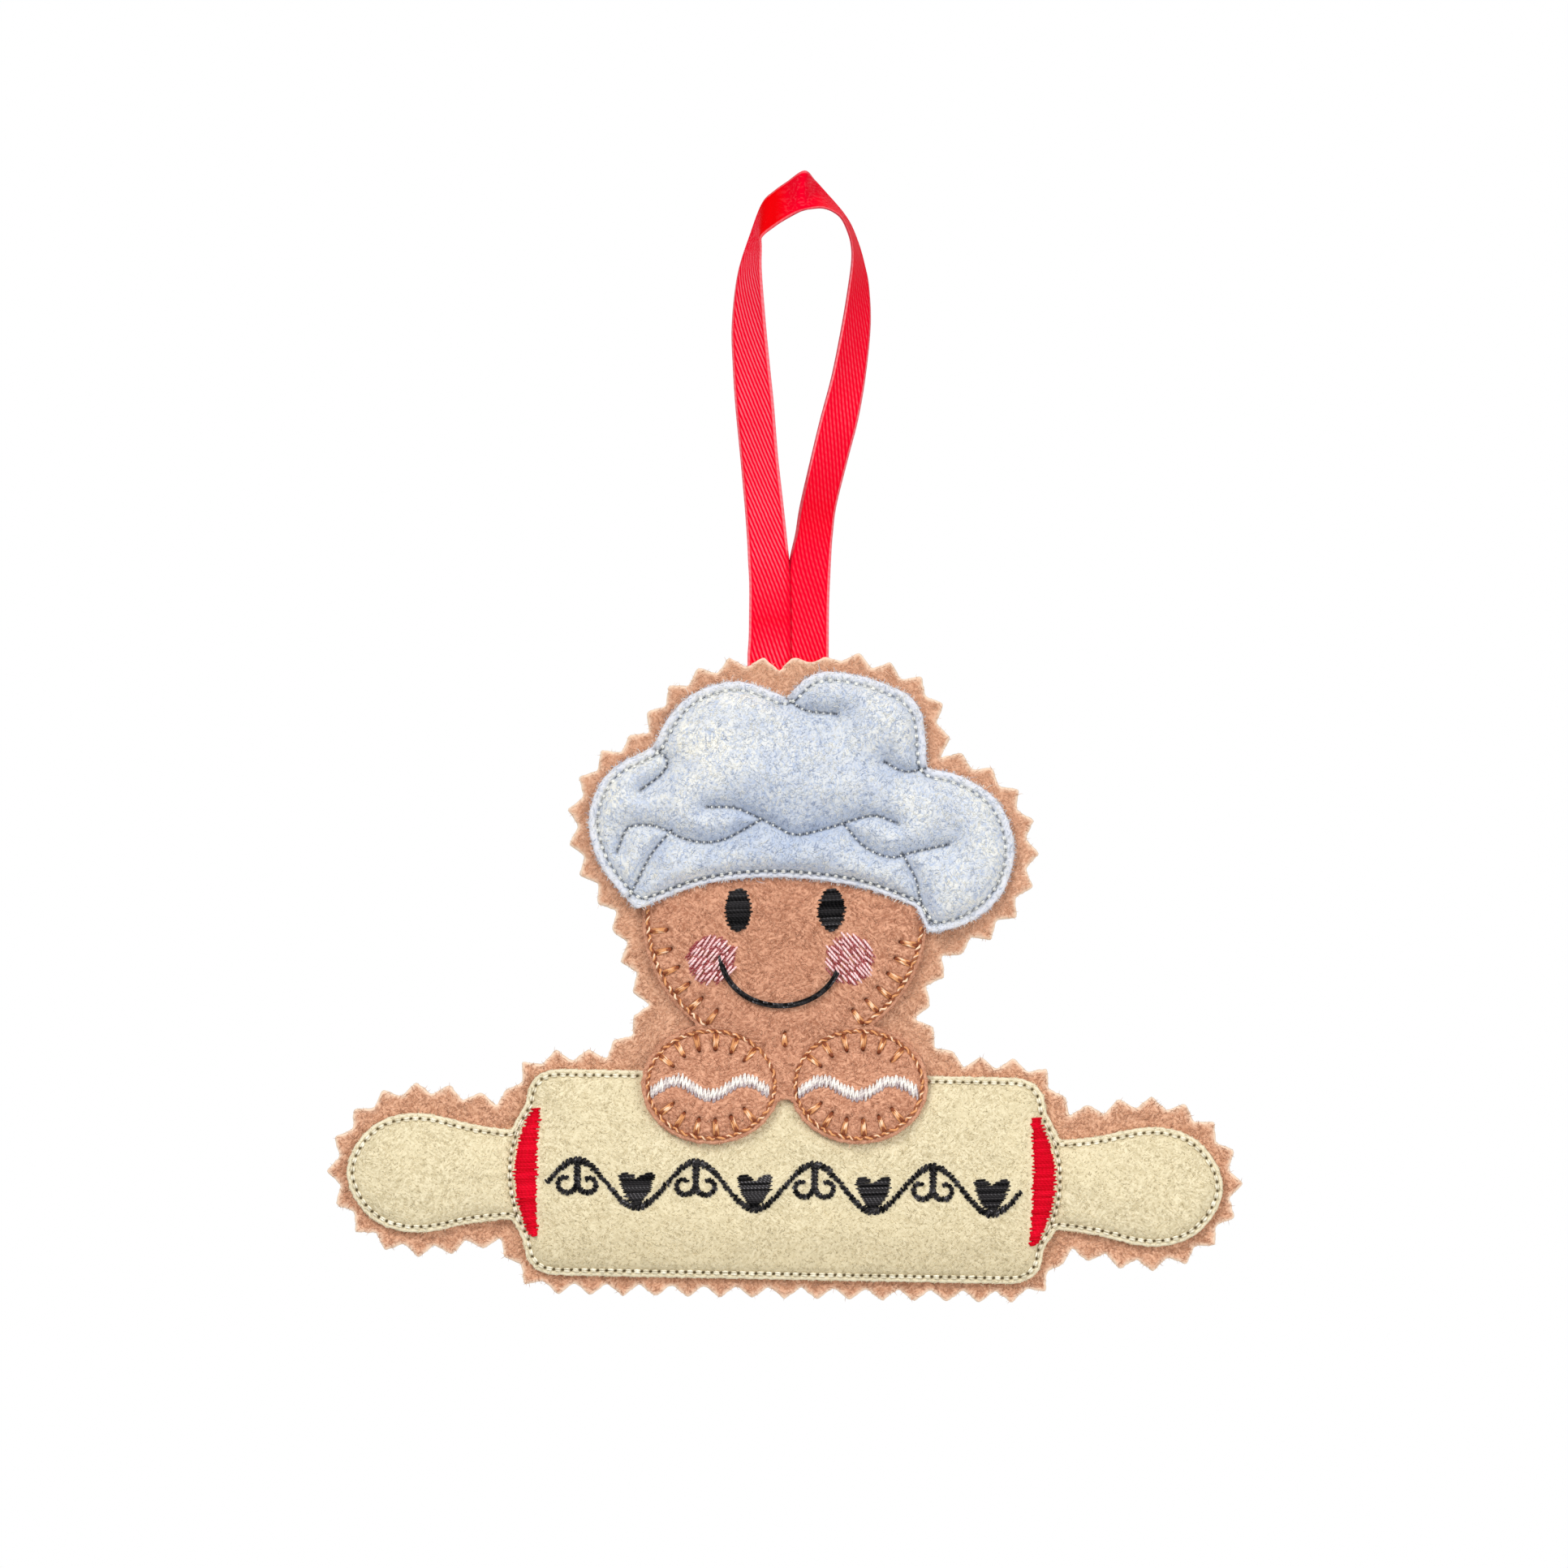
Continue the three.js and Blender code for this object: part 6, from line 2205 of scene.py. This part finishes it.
@dataclass
class SatinRibbon:
    """The hanging loop: one strip of satin from tail to tail."""

    width: float = 6.0
    thickness: float = 0.28
    rim_share: float = 0.6
    selvage_share: float = 1.5
    overlap: float = 0.16
    middle: float = 0.55
    tail: float = 12.0
    tail_rows: int = 24
    columns: int = 14
    steps: int = 7
    bend_above: float = 3.5
    bend_below: float = 0.3
    # across the strip, row by row: outer x and y, inner x and y in widths and heights, and lightness, the
    # painted sheen and shade of how that part faces the light
    rulings: tuple = (
        (-1.013, 0, 0.065, 0, 0.8), (-0.985, 0.035, 0.065, 0.035, 0.5), (-0.975, 0.08, 0.065, 0.08, 0.25),
        (-0.97, 0.16, 0.05, 0.16, 0.7), (-1.0, 0.215, 0.02, 0.215, 0.85), (-1.02, 0.26, -0.03, 0.26, 0.9),
        (-1.077, 0.337, -0.12, 0.337, 1), (-1.19, 0.455, -0.262, 0.455, 1),
        (-1.31, 0.571, -0.36, 0.571, 1), (-1.37, 0.66, -0.46, 0.66, 1), (-1.395, 0.758, -0.563, 0.758, 1),
        (-1.25, 0.875, -0.665, 0.875, 1), (-0.94, 0.968, -0.67, 0.931, 0.7),
        (-0.64, 1.039, -0.67, 0.957, 0), (-0.34, 1.067, -0.34, 0.983, 0),
        (-0.02, 1.088, -0.02, 1.002, 0.2), (0.39, 1.112, 0.3, 1.017, 0.3),
        (0.64, 1.092, 0.56, 1.023, 0.28), (0.88, 1.068, 0.84, 1.025, 0.24), (1.12, 1.042, 1.1, 1.017, 0.2),
        (1.36, 1.014, 1.3, 1.003, 0.2), (1.55, 0.985, 1.44, 0.978, 0.2), (1.74, 0.94, 1.54, 0.946, 0.2),
        (1.88, 0.895, 1.555, 0.905, 0.22), (1.98, 0.846, 1.475, 0.846, 0.25),
        (2.02, 0.758, 1.318, 0.758, 0.36), (1.9, 0.642, 1.07, 0.642, 0.42),
        (1.72, 0.542, 0.785, 0.542, 0.45), (1.48, 0.455, 0.56, 0.455, 0.35),
        (1.18, 0.343, 0.284, 0.343, 0.22), (1.09, 0.278, 0.17, 0.278, 0.25),
        (1.06, 0.237, 0.065, 0.237, 0.3), (1.035, 0.19, -0.02, 0.19, 0.35), (1.0, 0.11, -0.035, 0.11, 0.4),
        (0.99, 0, -0.035, 0, 0.5),
    )

    def edges(self) -> tuple[Array, Array]:
        """The two edges of the strip, row by row from tail to tail.

        Returns:
            The outer and the inner edge, (rows, 3) each.
        """
        drop = -PANEL.hinge / MM
        table = np.array(self.rulings, float)
        outer = np.column_stack([self.middle + table[:, 0] * self.width, table[:, 1] * drop])
        inner = np.column_stack([self.middle + table[:, 2] * self.width, table[:, 3] * drop])
        seen = np.linalg.norm(outer - inner, axis=1)
        hidden = np.sqrt(np.maximum(self.width**2 - seen**2, 0))
        side = np.where(table[:, 0] < 0, 1, -1)
        apart = self.overlap * side * np.clip(1.5 - 3 * table[:, 1], 0, 1)
        outer = curve_through(np.column_stack([outer, apart - hidden]), self.steps)
        inner = curve_through(np.column_stack([inner, apart]), self.steps)
        down = np.linspace(self.tail, 0, self.tail_rows, endpoint=False)[:, None] * np.array([[0, -1, 0]])
        whole = [np.vstack([edge[0] + down, edge, edge[-1] + down[::-1]]) for edge in (outer, inner)]
        return whole[0], whole[1]

    def build(self) -> None:
        """Makes the strip in place of the CAD ribbon."""
        outer, inner = self.edges()
        across = inner - outer
        ahead = np.gradient((outer + inner) / 2, axis=0)
        normal = unit(np.cross(across, ahead))
        share = np.linspace(0, 1, self.columns)
        thick = np.full(self.columns, self.thickness / 2)
        thick[[0, -1]] *= self.rim_share
        thick[[1, -2]] *= self.selvage_share
        faces = outer[:, None] + across[:, None] * share[:, None]
        above = faces + normal[:, None] * thick[:, None]
        below = faces - normal[:, None] * thick[:, None]
        rings = np.concatenate([above, below[:, ::-1]], axis=1)
        rows, sides, _ = rings.shape
        along = walked((outer + inner) / 2)
        weave = np.zeros((rows, sides, 3))
        weave[..., 0] = along[:, None]
        weave[..., 1] = np.concatenate([share, share[::-1]]) * self.width - self.width / 2
        lights = np.array(self.rulings)[:, 4]
        place = np.clip((np.arange(rows) - self.tail_rows) / self.steps, 0, len(lights) - 1)
        weave[..., 2] = np.interp(place, np.arange(len(lights)), lights)[:, None]
        caps = np.arange(sides)
        shape = Shape()
        shape.add(
            rings.reshape(-1, 3),
            [grid_faces(rows, sides, 1)[:, ::-1], caps[None], (caps + (rows - 1) * sides)[None, ::-1]],
            weave=weave.reshape(-1, 3),
        )
        ribbon = shape.piece("satin_ribbon", [RED_SATIN.material()])
        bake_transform(ribbon)
        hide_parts("ribbon_loop", "ribbon_tail_left", "ribbon_tail_right")
        path = PANEL.world((outer + inner) / 2)
        left_leg = (outer + inner)[self.tail_rows] / 2
        tuple(PANEL.world(left_leg[None])[0])
        log.info("satin_ribbon: %d faces, %.0f mm long", len(ribbon.data.polygons), along[-1])


@dataclass
class Studio:
    """A pale floor below the hanging ornament, soft light and the photograph's camera."""

    pixel: float = 0.12
    frame_pixels: int = 1932
    middle_pixel: Pair = (967.0, 270.0)
    distance: float = 3.0
    sensor: float = 36.0
    floor_drop: float = 0.052
    floor_half: float = 0.3
    # each lamp's name, strength, breadth, tilt and turn, in degrees
    lamps: tuple = (("key", 2.0, 28, 52, -34), ("fill", 1.4, 40, 81, 49))
    sun_colour: Triple = (1.0, 0.985, 0.955)
    world_light: float = 0.32
    world_colour: Colour = (0.965, 0.985, 1.0, 1.0)

    def camera(self) -> None:
        """A long lens that looks straight at the front, framed as the photograph is."""
        lens = bpy.data.cameras.new("camera")
        span = self.pixel * self.frame_pixels * MM
        lens.sensor_width = self.sensor
        lens.lens = self.sensor * self.distance / span
        lens.clip_end = 100.0
        made = add_object("camera", lens)
        centre = self.frame_pixels / 2
        x = (centre - self.middle_pixel[0]) * self.pixel * MM
        z = (self.middle_pixel[1] - centre) * self.pixel * MM
        made.location = (x, -self.distance, z)
        made.rotation_euler = (math.pi / 2, 0, 0)
        bpy.context.scene.camera = made

    def light(self) -> None:
        """Adds the broad soft lamps."""
        for name, strength, breadth, tilt, turn in self.lamps:
            lamp = bpy.data.lights.new(name, "SUN")
            lamp.energy = strength
            lamp.color = self.sun_colour
            lamp.angle = math.radians(breadth)
            add_object(name, lamp).rotation_euler = (math.radians(tilt), 0.0, math.radians(turn))

    def world(self) -> None:
        """Even light from all round, seen as white."""
        world = bpy.data.worlds.new("studio")
        tree = Tree(world)
        seen = tree.node("ShaderNodeLightPath", output="Is Camera Ray")
        for kind in ("Glossy", "Transmission"):
            ray = tree.node("ShaderNodeLightPath", output=f"Is {kind} Ray")
            seen = tree.node("ShaderNodeMath", {"operation": "MAXIMUM"}, {0: seen, 1: ray})
        light = {"Color": self.world_colour, "Strength": self.world_light}
        lit = tree.node("ShaderNodeBackground", None, light)
        white = tree.node("ShaderNodeBackground", None, {"Color": (1, 1, 1, 1), "Strength": 1.0})
        tree.end("ShaderNodeOutputWorld", tree.node("ShaderNodeMixShader", None, {0: seen, 1: lit, 2: white}))
        bpy.context.scene.world = world

    def floor(self) -> None:
        """A pale floor under the hanging ornament, below the photograph's frame."""
        shader = Shader("floor")
        patch = shader.noise(shader.place(), 60.0)
        pale = shader.mix(patch, srgb("fafafa"), srgb("f6f6f6"))
        mesh = bpy.data.meshes.new("floor")
        half = self.floor_half
        low = cad_box[0].z - self.floor_drop
        corners = [(-half, -half, low), (half, -half, low), (half, half, low), (-half, half, low)]
        mesh.from_pydata(corners, [], [(0, 1, 2, 3)])
        mesh.materials.append(shader.surface(Base_Color=pale, Roughness=0.9))
        add_object("floor", mesh)

    def build(self) -> None:
        """Sets the scene up."""
        self.camera()
        self.light()
        self.world()
        self.floor()
        bpy.context.scene.view_settings.view_transform = "Standard"


def main() -> None:
    """Builds the ornament and reports each piece."""
    logging.basicConfig(level=logging.INFO, format="%(name)s %(message)s")
    Studio().build()
    SatinRibbon().build()
    hat = Outline.of_node("hat_felt")
    pin = Outline.of_node("pin_felt")
    figure = Outline.of_node("gingerbread_felt")
    BaseFelts(covers=(hat, pin, figure)).build()
    rolling_pin = RollingPin(covers=(figure,))
    rolling_pin.build()
    Gingerbread(hat=hat, pin_swell=rolling_pin.swell).build()
    CooksHat().build()


if __name__ == "__main__":
    main()
